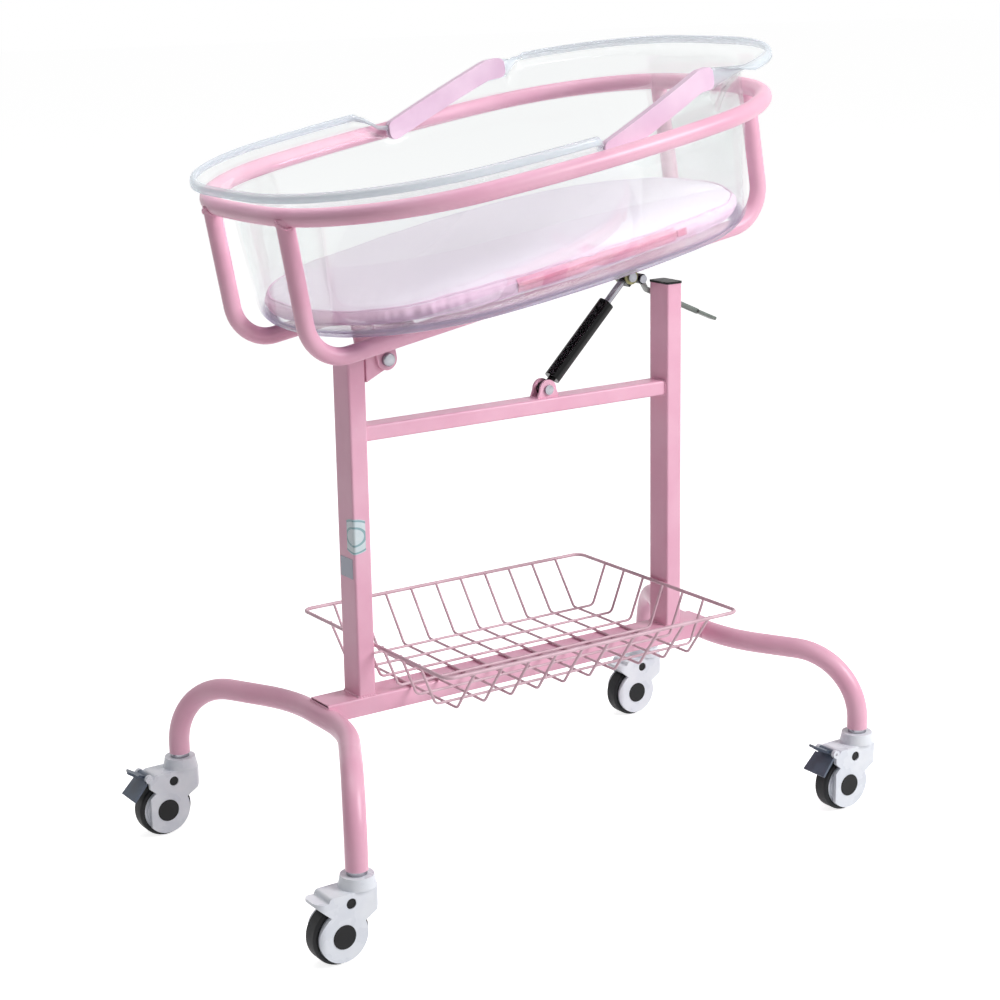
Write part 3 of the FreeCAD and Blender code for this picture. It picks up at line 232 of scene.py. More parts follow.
def coatedSteel(name, values):
    # Polyester powder coat: sprayed as dust on steel and baked. It gives the eye an even satin skin
    # with a faint orange peel a millimetre or two across, and here and there a dull rubbed mark.
    material = blankMaterial(name)
    place = addNode(material, "ShaderNodeTexCoord").outputs["Object"]
    share, colour = patchedColour(material, place, values)
    rubs = addNode(material, "ShaderNodeTexNoise",
                   {"Scale": perMillimetre(9), "Detail": 6.0, "Roughness": 0.7}, {"Vector": place})
    rubbed = addNode(material, "ShaderNodeMapRange",
                     {"From Min": 0.6, "From Max": 0.78, "To Max": values["wear"]},
                     {"Value": rubs.outputs[0]})
    worn = addNode(material, "ShaderNodeMix", {"data_type": "RGBA", 7: linearColour(values["rubbed"])},
                   {0: rubbed.outputs[0], 6: colour.outputs[2]})
    rough = addNode(material, "ShaderNodeMapRange",
                    {"From Min": 0.3, "From Max": 0.7, "To Min": values["rough"] - 0.04,
                     "To Max": values["rough"] + 0.06}, {"Value": rubs.outputs[0]})
    peel = addNode(material, "ShaderNodeTexNoise", {"Scale": perMillimetre(values["peel"]), "Detail": 1.0},
                   {"Vector": place})
    bump = addNode(material, "ShaderNodeBump", {"Strength": values["bump"], "Distance": 0.0004},
                   {"Height": peel.outputs[0]})
    shader = addNode(material, "ShaderNodeBsdfPrincipled",
                     {"IOR": 1.5, "Specular IOR Level": values.get("gloss", 0.5)},
                     {"Base Color": worn.outputs[2], "Roughness": rough.outputs[0],
                      "Normal": bump.outputs[0]})
    return finishMaterial(material, shader)


def mouldedPlastic(name, values):
    # Injection-moulded nylon or ABS: the tool's spark-eroded skin shows as a fine grain, and handling
    # leaves slightly glossier patches.
    material = blankMaterial(name)
    place = addNode(material, "ShaderNodeTexCoord").outputs["Object"]
    share, colour = patchedColour(material, place, values)
    rough = addNode(material, "ShaderNodeMapRange",
                    {"To Min": values["rough"] - 0.05, "To Max": values["rough"] + 0.08},
                    {"Value": share.outputs[0]})
    grain = addNode(material, "ShaderNodeTexNoise", {"Scale": perMillimetre(values["grain"]), "Detail": 2.0},
                    {"Vector": place})
    bump = addNode(material, "ShaderNodeBump", {"Strength": values["bump"], "Distance": 0.0003},
                   {"Height": grain.outputs[0]})
    shader = addNode(material, "ShaderNodeBsdfPrincipled",
                     {"IOR": 1.5, "Specular IOR Level": values.get("gloss", 0.5)},
                     {"Base Color": colour.outputs[2], "Roughness": rough.outputs[0],
                      "Normal": bump.outputs[0]})
    return finishMaterial(material, shader)


def platedSteel(name, values):
    # Turned or drawn steel with a thin plate: bright, with the fine lines of the drawing die or lathe,
    # and a few duller clouds where it has been touched.
    material = blankMaterial(name)
    place = addNode(material, "ShaderNodeTexCoord").outputs["Object"]
    share, colour = patchedColour(material, place, values)
    drawn = addNode(material, "ShaderNodeMapping", {"Scale": values["drawn"]}, {"Vector": place})
    lines = addNode(material, "ShaderNodeTexNoise", {"Scale": perMillimetre(values["line"]), "Detail": 2.0},
                    {"Vector": drawn.outputs[0]})
    rough = addNode(material, "ShaderNodeMapRange",
                    {"From Min": 0.3, "From Max": 0.7, "To Min": values["rough"] - 0.06,
                     "To Max": values["rough"] + 0.1}, {"Value": lines.outputs[0]})
    bump = addNode(material, "ShaderNodeBump", {"Strength": 0.15, "Distance": 0.0001},
                   {"Height": lines.outputs[0]})
    shader = addNode(material, "ShaderNodeBsdfPrincipled", {"Metallic": values["metal"]},
                     {"Base Color": colour.outputs[2], "Roughness": rough.outputs[0],
                      "Normal": bump.outputs[0]})
    return finishMaterial(material, shader)


def printedFilm(name, values):
    # Printed polyester film, laid on with glue: a satin face, with a line near the round label's edge and
    # one plain ring inside it. Both are drawn where (a / halfWidth)^2 + (z / halfHeight)^2 has a set
    # value, with a measured along the folded film and z upward, both from the label's middle.
    material = blankMaterial(name)
    place = addNode(material, "ShaderNodeTexCoord").outputs["Object"]
    share, ground = patchedColour(material, place, values)
    axes = addNode(material, "ShaderNodeSeparateXYZ", {}, {0: place}).outputs
    fold = worked(material, "SUBTRACT", axes["X"], values["faceX"])
    across = worked(material, "ABSOLUTE", worked(material, "SUBTRACT", axes["Y"], values["middleY"]))
    across = worked(material, "DIVIDE", worked(material, "ADD", across, fold), values["halfWidth"])
    upward = worked(material, "ABSOLUTE", worked(material, "SUBTRACT", axes["Z"], values["middleZ"]))
    upward = worked(material, "DIVIDE", upward, values["halfHeight"])
    outline = worked(material, "ADD", worked(material, "POWER", across, 2.0),
                     worked(material, "POWER", upward, 2.0))
    line = worked(material, "COMPARE", outline, values["lineAt"], values["lineWidth"])
    ring = worked(material, "COMPARE", outline, values["ringAt"], values["ringWidth"])
    isRound = worked(material, "GREATER_THAN", axes["Z"], values["roundFoot"])
    drawn = worked(material, "MULTIPLY", worked(material, "MAXIMUM", line, ring), isRound)
    base = addNode(material, "ShaderNodeMix", {"data_type": "RGBA", 6: linearColour(values["oblong"])},
                   {0: isRound, 7: ground.outputs[2]})
    inked = addNode(material, "ShaderNodeMix", {"data_type": "RGBA", 7: linearColour(values["ink"])},
                    {0: drawn, 6: base.outputs[2]})
    rough = addNode(material, "ShaderNodeMapRange", {"To Min": 0.26, "To Max": 0.36},
                    {"Value": share.outputs[0]})
    shader = addNode(material, "ShaderNodeBsdfPrincipled", {"IOR": 1.5},
                     {"Base Color": inked.outputs[2], "Roughness": rough.outputs[0]})
    return finishMaterial(material, shader)


def clearAcrylic(values):
    # Cast acrylic sheet, drawn hot over a mould: clear, glossy and very slightly wavy where it was stretched.
    # Where it bends at the floor a lilac-grey painted shade is laid on, and along the rim a pale painted
    # reflection band, both standing in for how the bent sheet refracts and reflects light. A thin sheet hardly
    # bends what is seen through it, so part of the light goes straight on, and lamps reach through it.
    material = blankMaterial("clearAcrylic")
    place = addNode(material, "ShaderNodeTexCoord").outputs["Object"]
    # the two attributes below mark a painted lilac-grey shade at the floor's bend and a painted pale reflection
    # band along the rim
    bendShade = addNode(material, "ShaderNodeAttribute", {"attribute_name": "bendShadeShare"}).outputs["Fac"]
    rim = addNode(material, "ShaderNodeAttribute", {"attribute_name": "rimReflectionShare"}).outputs["Fac"]
    wave = addNode(material, "ShaderNodeTexNoise", {"Scale": perMillimetre(90), "Detail": 1.0},
                   {"Vector": place})
    bump = addNode(material, "ShaderNodeBump", {"Strength": 0.06, "Distance": 0.002},
                   {"Height": wave.outputs[0]})
    smears = addNode(material, "ShaderNodeTexNoise", {"Scale": perMillimetre(30), "Detail": 5.0},
                     {"Vector": place})
    rough = addNode(material, "ShaderNodeMapRange",
                    {"From Min": 0.4, "From Max": 0.7, "To Min": 0.0, "To Max": 0.02},
                    {"Value": smears.outputs[0]})
    # the sheet's own clear tint, with the painted bend shade and the painted rim reflection mixed in
    tintWithPaintedEdges = addNode(material, "ShaderNodeMix", {"data_type": "RGBA", 6: linearColour(values["sheet"]),
                                               7: linearColour(values["bendShade"])}, {0: bendShade})
    tintWithPaintedEdges = addNode(material, "ShaderNodeMix", {"data_type": "RGBA", 7: linearColour(values["rim"])},
                   {0: rim, 6: tintWithPaintedEdges.outputs[2]})
    sheet = addNode(material, "ShaderNodeBsdfPrincipled",
                    {"IOR": values["index"], "Transmission Weight": 1.0},
                    {"Base Color": tintWithPaintedEdges.outputs[2], "Roughness": rough.outputs[0], "Normal": bump.outputs[0]})
    through = addNode(material, "ShaderNodeBsdfTransparent", {}, {"Color": tintWithPaintedEdges.outputs[2]})
    solid = addNode(material, "ShaderNodeBsdfPrincipled", {"IOR": 1.49, "Roughness": 0.18},
                    {"Base Color": tintWithPaintedEdges.outputs[2]})
    # the painted bend shade and rim reflection also show partly opaque through the solid shader
    paintedEdgeShare = addNode(material, "ShaderNodeMapRange", {"To Min": 0.0, "To Max": values["paintedEdgeShare"]},
                    {"Value": worked(material, "MAXIMUM", bendShade, rim)})
    ray = addNode(material, "ShaderNodeLightPath")
    straight = worked(material, "MAXIMUM", ray.outputs["Is Shadow Ray"], values["straight"])
    both = addNode(material, "ShaderNodeMixShader", {},
                   {0: straight, 1: sheet.outputs[0], 2: through.outputs[0]})
    whole = addNode(material, "ShaderNodeMixShader", {},
                    {0: paintedEdgeShare.outputs[0], 1: both.outputs[0], 2: solid.outputs[0]})
    return finishMaterial(material, whole)


finishes = {
    "pinkCoat": {"pale": "#F3BBD1", "deep": "#EDAFC8", "patch": 70, "rubbed": "#F6D3E0", "wear": 0.25,
                 "rough": 0.34, "peel": 1.8, "bump": 0.12},
    "wireCoat": {"pale": "#E6C3CF", "deep": "#D4ACBA", "patch": 30, "rubbed": "#EBD5DE", "wear": 0.3,
                 "rough": 0.36, "peel": 1.0, "bump": 0.15},
    "blackEnamel": {"pale": "#0B0B0D", "deep": "#070708", "patch": 40, "rubbed": "#101013", "wear": 0.1,
                    "rough": 0.14, "peel": 2.5, "bump": 0.02, "gloss": 0.22},
    "greyEnamel": {"pale": "#79827C", "deep": "#68716B", "patch": 25, "rubbed": "#929A95", "wear": 0.4,
                   "rough": 0.36, "peel": 1.2, "bump": 0.1},
    "capPlastic": {"pale": "#111114", "deep": "#0A0A0C", "patch": 20, "rough": 0.42, "grain": 0.8,
                   "bump": 0.15, "gloss": 0.25},
    "casterNylon": {"pale": "#EEF1F7", "deep": "#E2E6EF", "patch": 35, "rough": 0.28, "grain": 0.9,
                    "bump": 0.06},
    "pedalNylon": {"pale": "#535F70", "deep": "#434D5D", "patch": 18, "rough": 0.42, "grain": 0.8,
                   "bump": 0.2},
    "gripVinyl": {"pale": "#F3D6EB", "deep": "#EBCAE3", "patch": 45, "rough": 0.42, "grain": 1.0,
                  "bump": 0.1},
    "zipNylon": {"pale": "#DE7F9E", "deep": "#CE6C8E", "patch": 6, "rough": 0.36, "grain": 0.6, "bump": 0.2},
    "zipTape": {"pale": "#EFA3C1", "deep": "#E794B4", "patch": 9, "rough": 0.7, "grain": 0.9, "bump": 0.5},
    "pipingCord": {"pale": "#E9C6E0", "deep": "#DFB6D4", "patch": 14, "rough": 0.6, "grain": 0.8,
                   "bump": 0.3},
    "treadRubber": {"pale": "#15161A", "deep": "#0D0E11", "patch": 14, "rough": 0.55, "grain": 0.7,
                    "bump": 0.3, "gloss": 0.3},
    "labelFilm": {"pale": "#DCE8EC", "deep": "#D0DFE5", "patch": 12, "oblong": "#AFB4C4", "ink": "#8FB3BA",
                  "faceX": standShift - 0.2625, "middleY": -0.020, "halfWidth": 0.0325,
                  "middleZ": 0.443, "halfHeight": 0.023, "lineAt": 0.84, "lineWidth": 0.09,
                  "ringAt": 0.27, "ringWidth": 0.06, "roundFoot": 0.4165},
    "brightPlate": {"pale": "#A6A6AC", "deep": "#8B8B92", "patch": 12, "drawn": (1, 1, 12), "line": 0.8,
                    "rough": 0.26, "metal": 1.0},
    "oliveChromate": {"pale": "#8F8B66", "deep": "#6E6B4C", "patch": 9, "drawn": (4, 1, 4), "line": 1.2,
                      "rough": 0.38, "metal": 0.85},
    # the bend colour is a painted shade at the floor's bend, the rim colour a painted pale reflection band; the
    # share after them sets how opaque both show
    "acrylic": {"sheet": "#FAFBFB", "bendShade": "#BDB3CC", "rim": "#F1F6FA", "index": 1.46, "straight": 0.8,
                "paintedEdgeShare": 0.45},
}

pinkCoat = coatedSteel("pinkPowderCoat", finishes["pinkCoat"])
wireCoat = coatedSteel("basketEpoxyCoat", finishes["wireCoat"])
blackEnamel = coatedSteel("springBlackEnamel", finishes["blackEnamel"])
greyEnamel = coatedSteel("leverGreyEnamel", finishes["greyEnamel"])
capPlastic = mouldedPlastic("capPolyethylene", finishes["capPlastic"])
casterNylon = mouldedPlastic("casterNylon", finishes["casterNylon"])
pedalNylon = mouldedPlastic("pedalNylon", finishes["pedalNylon"])
gripVinyl = mouldedPlastic("gripVinyl", finishes["gripVinyl"])
zipNylon = mouldedPlastic("zipNylon", finishes["zipNylon"])
zipTape = mouldedPlastic("zipWovenTape", finishes["zipTape"])
pipingCord = mouldedPlastic("coverPiping", finishes["pipingCord"])
treadRubber = mouldedPlastic("wheelPolyurethane", finishes["treadRubber"])
labelFilm = printedFilm("labelPolyester", finishes["labelFilm"])
brightPlate = platedSteel("nickelPlatedSteel", finishes["brightPlate"])
oliveChromate = platedSteel("chromatedSteel", finishes["oliveChromate"])
acrylic = clearAcrylic(finishes["acrylic"])

slotFinish = {
    "pink_paint": pinkCoat, "black_plastic": capPlastic, "label_film": labelFilm,
    "olive_steel": oliveChromate, "bright_steel": brightPlate, "black_paint": blackEnamel,
    "dark_paint": greyEnamel, "clear_plastic": acrylic, "pink_trim": gripVinyl,
    "cover_fabric": gripVinyl, "zip_plastic": zipNylon, "wire_coat": wireCoat,
    "white_plastic": casterNylon, "tread_rubber": treadRubber, "pedal_plastic": pedalNylon,
}
ownFinish = {"hinge_bracket": pinkCoat, "spring_clevis": pinkCoat}     # sprayed with the frame they are on
for subpart in frame["record"]["subparts"]:
    node = frame["nodes"][subpart["node"]]
    node.data.materials.clear()
    node.data.materials.append(ownFinish.get(subpart["node"], slotFinish[subpart["material_slot"]]))
print("finishes:", len(bpy.data.materials))


# Clear tub

tubShape = {
    "floorHalf": (0.334, 0.230), "floorRadii": (1.040, 1.240, 0.214), "topHalf": (0.330, 0.246),
    "topRadii": (1.016, 1.216, 0.190), "depth": 0.160, "bottomRadius": 0.025, "wall": 0.004,
    "rimHalf": (0.373, 0.284), "rimRadii": (1.100, 1.950, 0.230), "skirt": 0.012,
    "footRim": 0.033, "footStart": 0.002, "footCrest": 0.013,
    "headRim": 0.061, "headStart": 0.043, "headCrest": 0.051,
    "rampStart": -0.012, "rampEnd": 0.162, "lowEdge": 0.0066,
    "gripStart": 0.0, "gripEnd": 0.188, "gather": 0.030,
    # the band over which the painted bend shade fades out up the wall
    "bendShadeBand": 0.011, "wallStop": 0.012, "stepsPerQuarter": 44,
}


def eased(share):
    share = np.clip(share, 0, 1)
    return share * share * (3 - 2 * share)


def makeTub():
    # Rings from the middle of the floor outwards. Floor and wall: a straight line between the floor's
    # oval and the top oval, with a quarter circle at the bottom. Above that, the lip: from the wall over
    # the hoop to the rim and down the skirt, its corners quadratic curves. Between the two grips the lip
    # folds into the plain wall: place = flare * lip + (1 - flare) * wall.
    t = tubShape
    steps = t["stepsPerQuarter"]
    wallOval = basinOval(steps, t["topHalf"], t["topRadii"])
    hoopOval = basinOval(steps, basinPlan["hoopHalf"], basinPlan["hoopRadii"])
    rimOval = basinOval(steps, t["rimHalf"], t["rimRadii"], t["wall"])
    u = wallOval[:, 0]
    rings, bendShades, rimReflectionShares = [], [], []

    def joined(oval, height):
        return np.concatenate([oval, np.broadcast_to(height, u.shape)[:, None]], -1)

    def ring(places, bendShade=0.0, rim=0.0):
        rings.append(places)
        bendShades.append(bendShade)
        rimReflectionShares.append(rim)

    def bowl(inset, height):
        low = basinOval(steps, t["floorHalf"], t["floorRadii"], inset)
        high = basinOval(steps, t["topHalf"], t["topRadii"], inset)
        return low + (high - low) * height / t["depth"]

    floorEdge = bowl(t["bottomRadius"], 0.0)
    for scale in (0.03, 0.25, 0.5, 0.75, 0.92):
        ring(joined(floorEdge * scale, -t["depth"]))
    for step in np.linspace(0, math.pi / 2, 11):
        height = t["bottomRadius"] * (1 - math.cos(step))
        # share of the painted lilac-grey shade at the floor's bend
        bendShade = math.exp(-(height / t["bendShadeBand"]) ** 4) * min(1.0, step / 0.3)
        ring(joined(bowl(t["bottomRadius"] * (1 - math.sin(step)), height), height - t["depth"]), bendShade)
    for height in np.linspace(t["bottomRadius"], t["depth"] - t["wallStop"], 8)[1:]:
        ring(joined(bowl(0.0, height), height - t["depth"]))

    toHead = eased((u - 0.04) / 0.1)
    start = t["footStart"] + (t["headStart"] - t["footStart"]) * toHead
    crest = t["footCrest"] + (t["headCrest"] - t["footCrest"]) * toHead
    rim = t["footRim"] + (t["headRim"] - t["footRim"]) * toHead
    flare = np.maximum(eased((t["gripStart"] - 0.001 - u) / t["gather"]),
                       eased((u - t["gripEnd"] - 0.001) / t["gather"]))
    ramp = np.interp(u, [t["rampStart"], t["rampEnd"]], [t["lowEdge"], t["headRim"] - 0.001])
    edge = np.where(u > t["gripEnd"], np.maximum(ramp, rim), ramp)
    corners = [joined(wallOval, start - 0.004), joined(wallOval, start + 0.001), joined(hoopOval, crest),
               joined(rimOval, rim - t["wall"]), joined(rimOval, rim - t["skirt"])]

    def curve(before, corner, after, reach, count):
        # quadratic curve that starts and ends at reach from the corner
        back, ahead = before - corner, after - corner
        first = corner + back * np.minimum(1, reach / np.linalg.norm(back, axis=-1, keepdims=True))
        last = corner + ahead * np.minimum(1, reach / np.linalg.norm(ahead, axis=-1, keepdims=True))
        return [(1 - s) ** 2 * first + 2 * s * (1 - s) * corner + s * s * last
                for s in np.linspace(0, 1, count)]

    lip = curve(corners[0], corners[1], corners[2], 0.004, 4) + [(corners[1] + corners[2]) / 2] \
        + curve(corners[1], corners[2], corners[3], 0.006, 4) \
        + [(corners[2] * (1 - s) + corners[3] * s) for s in (0.45, 0.65)] \
        + curve(corners[2], corners[3], corners[4], 0.0035, 6) + [corners[4]]
    for count, place in enumerate(lip):
        share = (count + 1) / len(lip)
        straight = joined(wallOval, -0.010 * (1 - share) + edge * share)
        # share of the painted pale reflection band along the rim
        rimReflectionShare = float(eased((share - 0.6) / 0.15))
        ring(place * flare[:, None] + straight * (1 - flare[:, None]), rim=rimReflectionShare)
    grid = basinPoints(np.array(rings))
    tub = pieceFromGrid("clearTub", grid[:, ::-1], "tub_body", capStart=True)
    # per-point shares of the painted bend shade and the painted rim reflection band
    setAttribute(tub, "bendShadeShare", np.repeat(bendShades, len(u)))
    setAttribute(tub, "rimReflectionShare", np.repeat(rimReflectionShares, len(u)))
    sheet = tub.modifiers.new("sheetThickness", "SOLIDIFY")
    sheet.thickness = t["wall"]
    sheet.offset = -1
    applyModifiers(tub)
    tub.data.shade_smooth()
    dress(tub, acrylic)
    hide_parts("tub")
    return tub


tub = makeTub()
print("tub:", len(tub.data.polygons), "faces")


# Mattress, its piping and its zip

padShape = {
    "half": (0.322, 0.195), "radii": (1.300, 3.000, 0.160), "bottom": -0.1557, "thickness": 0.042,
    "crown": 0.006, "edge": 0.014, "startSmaller": 0.008, "voxel": 0.006,
    "pressure": 1.2, "frames": 20, "cap": 0.026, "flattened": 0.006,
    "pleatDepth": 0.0011, "puckerDepth": 0.0005, "seamDepth": 0.0010,
    "seams": (0.10, 0.93), "pipingRadius": 0.0014,
}
zipShape = {
    "from": -0.112, "to": 0.132, "middle": 0.021, "tape": 0.016, "tapeThickness": 0.0008,
    "coil": 0.0052, "coilHeight": 0.0021, "teethPitch": 0.0026,
}
coverColours = {"top": ("#F0E6F4", "#F8F0FA"), "band": ("#E6BFDA", "#EFCFE4")}     # deep and pale


def coverFabric():
    # Mattress ticking: a polyester knit with a soft polyurethane face, stretched over foam. The top is a
    # pale lilac with a faint weave and a low sheen, and the side band is the pinker of the two panels.
    material = blankMaterial("mattressCover")
    place = addNode(material, "ShaderNodeAttribute", {"attribute_name": "padPlace"}).outputs["Vector"]
    side = addNode(material, "ShaderNodeAttribute", {"attribute_name": "sideShare"}).outputs["Fac"]
    clouds = addNode(material, "ShaderNodeTexNoise", {"Scale": perMillimetre(60), "Detail": 3.0},
                     {"Vector": place})
    top, band = [addNode(material, "ShaderNodeMix",
                         {"data_type": "RGBA", 6: linearColour(deep), 7: linearColour(pale)},
                         {0: clouds.outputs[0]})
                 for deep, pale in (coverColours["top"], coverColours["band"])]
    colour = addNode(material, "ShaderNodeMix", {"data_type": "RGBA"},
                     {0: side, 6: top.outputs[2], 7: band.outputs[2]})
    # threads lie 0.4 mm apart, drawn at 2 mm so that the weave can show
    across, along = [addNode(material, "ShaderNodeTexWave",
                             {"Scale": perMillimetre(2) / 20, "bands_direction": direction},
                             {"Vector": place}).outputs["Fac"] for direction in "XY"]
    threads = addNode(material, "ShaderNodeBump", {"Strength": 0.12, "Distance": 0.0004},
                      {"Height": worked(material, "MULTIPLY", across, along)})
    shader = addNode(material, "ShaderNodeBsdfPrincipled",
                     {"Roughness": 0.62, "IOR": 1.5, "Sheen Weight": 0.25, "Sheen Roughness": 0.4},
                     {"Base Color": colour.outputs[2], "Normal": threads.outputs[0]})
    return finishMaterial(material, shader)


def readPlaces(mesh):
    places = np.empty(len(mesh.vertices) * 3)
    mesh.vertices.foreach_get("co", places)
    return places.reshape(-1, 3)


def makeMattress():
    # A crowned oval pad: rows of the oval moved in and up round a half circle at the side, then swollen
    # by a cloth under pressure, fitted back to the pad's length, width and height and set on the floor.
    p = padShape
    half = (p["half"][0] - p["startSmaller"], p["half"][1] - p["startSmaller"])
    middle = p["thickness"] / 2
    rise = middle - p["startSmaller"] / 2
    rows, cap = [], []
    for angle in np.linspace(-math.pi / 2, math.pi / 2, 9):
        inset = p["edge"] * (1 - math.cos(angle))
        height = math.copysign(max(0.0, rise - p["edge"]), math.sin(angle)) if abs(angle) > 0.01 else 0.0
        oval = basinOval(36, half, p["radii"], inset)
        rows.append(np.concatenate([oval, np.full((len(oval), 1), height + p["edge"] * math.sin(angle))], -1))
    for scale in (0.85, 0.6, 0.35, 0.1):
        cap.append(np.concatenate([rows[-1][:, :2] * scale, np.full((len(oval), 1), rise)], -1))
    rows = [ring * (1, 1, -1) for ring in reversed(cap)] + rows + cap
    grid = np.array(rows)[:, ::-1]
    pad = pieceFromGrid("mattressPad", grid, "mattress_body", capStart=True, capEnd=True)
    pad.parent = None
    remesh = pad.modifiers.new("evenMesh", "REMESH")
    remesh.mode = "VOXEL"
    remesh.voxel_size = p["voxel"]
    applyModifiers(pad)
    start = readPlaces(pad.data)
    cloth = pad.modifiers.new("swell", "CLOTH")
    cloth.settings.use_pressure = True
    cloth.settings.uniform_pressure_force = p["pressure"]
    cloth.settings.effector_weights.gravity = 0.0
    cloth.settings.quality = 5
    for frameNumber in range(1, p["frames"] + 1):
        bpy.context.scene.frame_set(frameNumber)
    applyModifiers(pad)
    bpy.context.scene.frame_set(1)
    move = readPlaces(pad.data) - start
    length = np.linalg.norm(move, axis=1, keepdims=True)
    places = start + move * np.minimum(1, p["cap"] / np.maximum(length, 1e-9))
    places[:, :2] *= np.array(p["half"]) / np.abs(places[:, :2]).max(0)
    top = p["thickness"] + p["crown"]
    low, high = places[:, 2].min(), places[:, 2].max()
    places[:, 2] = (places[:, 2] - low) / (high - low) * (top + p["flattened"]) - p["flattened"]
    places[:, 2] = np.maximum(places[:, 2], 0.0)       # the underside goes flat
    pad.data.vertices.foreach_set("co", places.ravel())
    finer = pad.modifiers.new("finer", "SUBSURF")
    finer.levels = finer.render_levels = 1
    applyModifiers(pad)

    # Pleats and puckers come after the swelling: moves along the outline's own outward direction
    places = readPlaces(pad.data)
    normals = np.empty(places.size)
    pad.data.vertex_normals.foreach_get("vector", normals)
    normals = normals.reshape(-1, 3)
    outward = normals * (1, 1, 0)
    sideShare = eased((np.linalg.norm(outward, axis=1) - 0.4) / 0.3)
    around = np.arctan2(places[:, 1] / p["half"][1], places[:, 0] / p["half"][0])
    height = places[:, 2] / p["thickness"]
    pleatPlace = np.exp(-((around + 2.25) / 0.42) ** 2) + 0.35 * np.exp(-((around - 2.4) / 0.5) ** 2) \
        + 0.25 * np.exp(-((around + 0.65) / 0.25) ** 2)
    folds = np.sin(around * 150 + 2.2 * np.sin(around * 23)) * 0.6 + np.sin(around * 67 + 1.7) * 0.5
    pleats = folds * pleatPlace * p["pleatDepth"] * sideShare * (0.65 + 0.35 * np.sin(height * 3.1))
    pucker = p["puckerDepth"] * np.sin(around * 41 + 1.3 * np.sin(around * 9)) * sideShare
    places += outward * (pleats + pucker)[:, None]
    for seam in p["seams"]:
        dent = p["seamDepth"] * np.exp(-((height - seam) / 0.035) ** 2) * sideShare
        places -= normals * dent[:, None]
    setAttribute(pad, "padPlace", places, "FLOAT_VECTOR")
    setAttribute(pad, "sideShare", sideShare * eased((1.02 - height) / 0.12))
    places[:, 2] += p["bottom"]
    pad.data.vertices.foreach_set("co", basinPoints(places).ravel())
    pad.data.update()
    pad.data.shade_smooth()
    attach(pad, "mattress_body")
    dress(pad, coverFabric())
    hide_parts("mattress")
    return pad


def laidOn(pad, places, proud, sideways):
    # basin places brought onto the pad's skin: thrown along Y where sideways, else to the nearest point
    mesh = bpy.data.meshes.new("laid")
    mesh.from_pydata(basinPoints(places).reshape(-1, 3).tolist(), [], [])
    helper = bpy.data.objects.new("laid", mesh)
    bpy.context.scene.collection.objects.link(helper)
    wrap = helper.modifiers.new("onPad", "SHRINKWRAP")
    wrap.target = pad
    wrap.wrap_method = "PROJECT" if sideways else "NEAREST_SURFACEPOINT"
    wrap.wrap_mode = "ABOVE_SURFACE"
    wrap.offset = proud
    if sideways:
        wrap.use_project_y = True
    applyModifiers(helper)
    found = readPlaces(helper.data).reshape(places.shape)
    bpy.data.objects.remove(helper)
    return found


def makePiping(pad):
    # A thin corded seam round the top and the bottom of the side band
    p = padShape
    for name, share in zip(("lowerPiping", "upperPiping"), p["seams"]):
        oval = basinOval(60, p["half"], p["radii"], 0.0)
        line = np.concatenate([oval, np.full((len(oval), 1), p["bottom"] + share * p["thickness"])], -1)
        line = laidOn(pad, line, 0.0002, False)
        line = (np.roll(line, 1, 0) + 2 * line + np.roll(line, -1, 0)) / 4
        piping = barAlong(name, line, p["pipingRadius"], "mattress_body")
        dress(piping, pipingCord)


def makeZip(pad):
    # Woven tape on the near side, and on it the coil: height = h * sqrt(1 - (d / r)^2) across the coil,
    # times 0.78 + 0.22 * sin(2 pi u / pitch), half a pitch later on its lower half.
    z = zipShape
    middle = padShape["bottom"] + z["middle"]
    along = np.arange(z["from"], z["to"], z["teethPitch"] / 8)
    for name, width in (("zipTape", z["tape"]), ("zipCoil", z["coil"])):
        rise = np.linspace(-0.5, 0.5, 9) * width
        n, u = np.meshgrid(rise, along, indexing="ij")
        places = np.stack([u, np.full(u.shape, -0.3), middle + n], -1)
        proud = z["tapeThickness"] if name == "zipCoil" else 0.0002
        skin = laidOn(pad, places, proud, True)
        if name == "zipCoil":
            arch = np.sqrt(np.maximum(0, 1 - (2 * n / width) ** 2))
            teeth = 0.78 + 0.22 * np.sin(2 * math.pi * u / z["teethPitch"] + math.pi * (n < 0))
            skin = skin - np.array([0, 1, 0]) * (z["coilHeight"] * arch * teeth)[..., None]
        piece = pieceFromGrid(name, skin, "mattress_body", closedAround=False)
        thickness = piece.modifiers.new("thickness", "SOLIDIFY")
        thickness.thickness = z["tapeThickness"]
        thickness.offset = 1 if name == "zipTape" else -1
        applyModifiers(piece)
        mergeDoubles(piece.data)
        dress(piece, zipTape if name == "zipTape" else zipNylon)


mattress = makeMattress()
makePiping(mattress)
makeZip(mattress)
print("mattress:", len(mattress.data.polygons), "faces")


# Weld beads where the steel tubes meet

weldShape = {"bead": 0.0018, "ripple": 0.0003, "rippleLength": 0.0035, "step": 0.0007}
stand = {
    "columnX": 0.250, "columnHalf": (0.0125, 0.020), "beamTop": 0.2306, "corner": 0.003,
    "railX": 0.2375, "railHalf": (0.015, 0.010), "railHeight": 0.5715,
    "archX": 0.3095, "archHeight": 0.2115, "archRadius": 0.014, "beamHalf": 0.023, "beamBottom": 0.2056,
    "hangerPlace": (0.3505, 0.093), "tubeRadius": 0.011, "hoopTurn": math.radians(4.3),
}


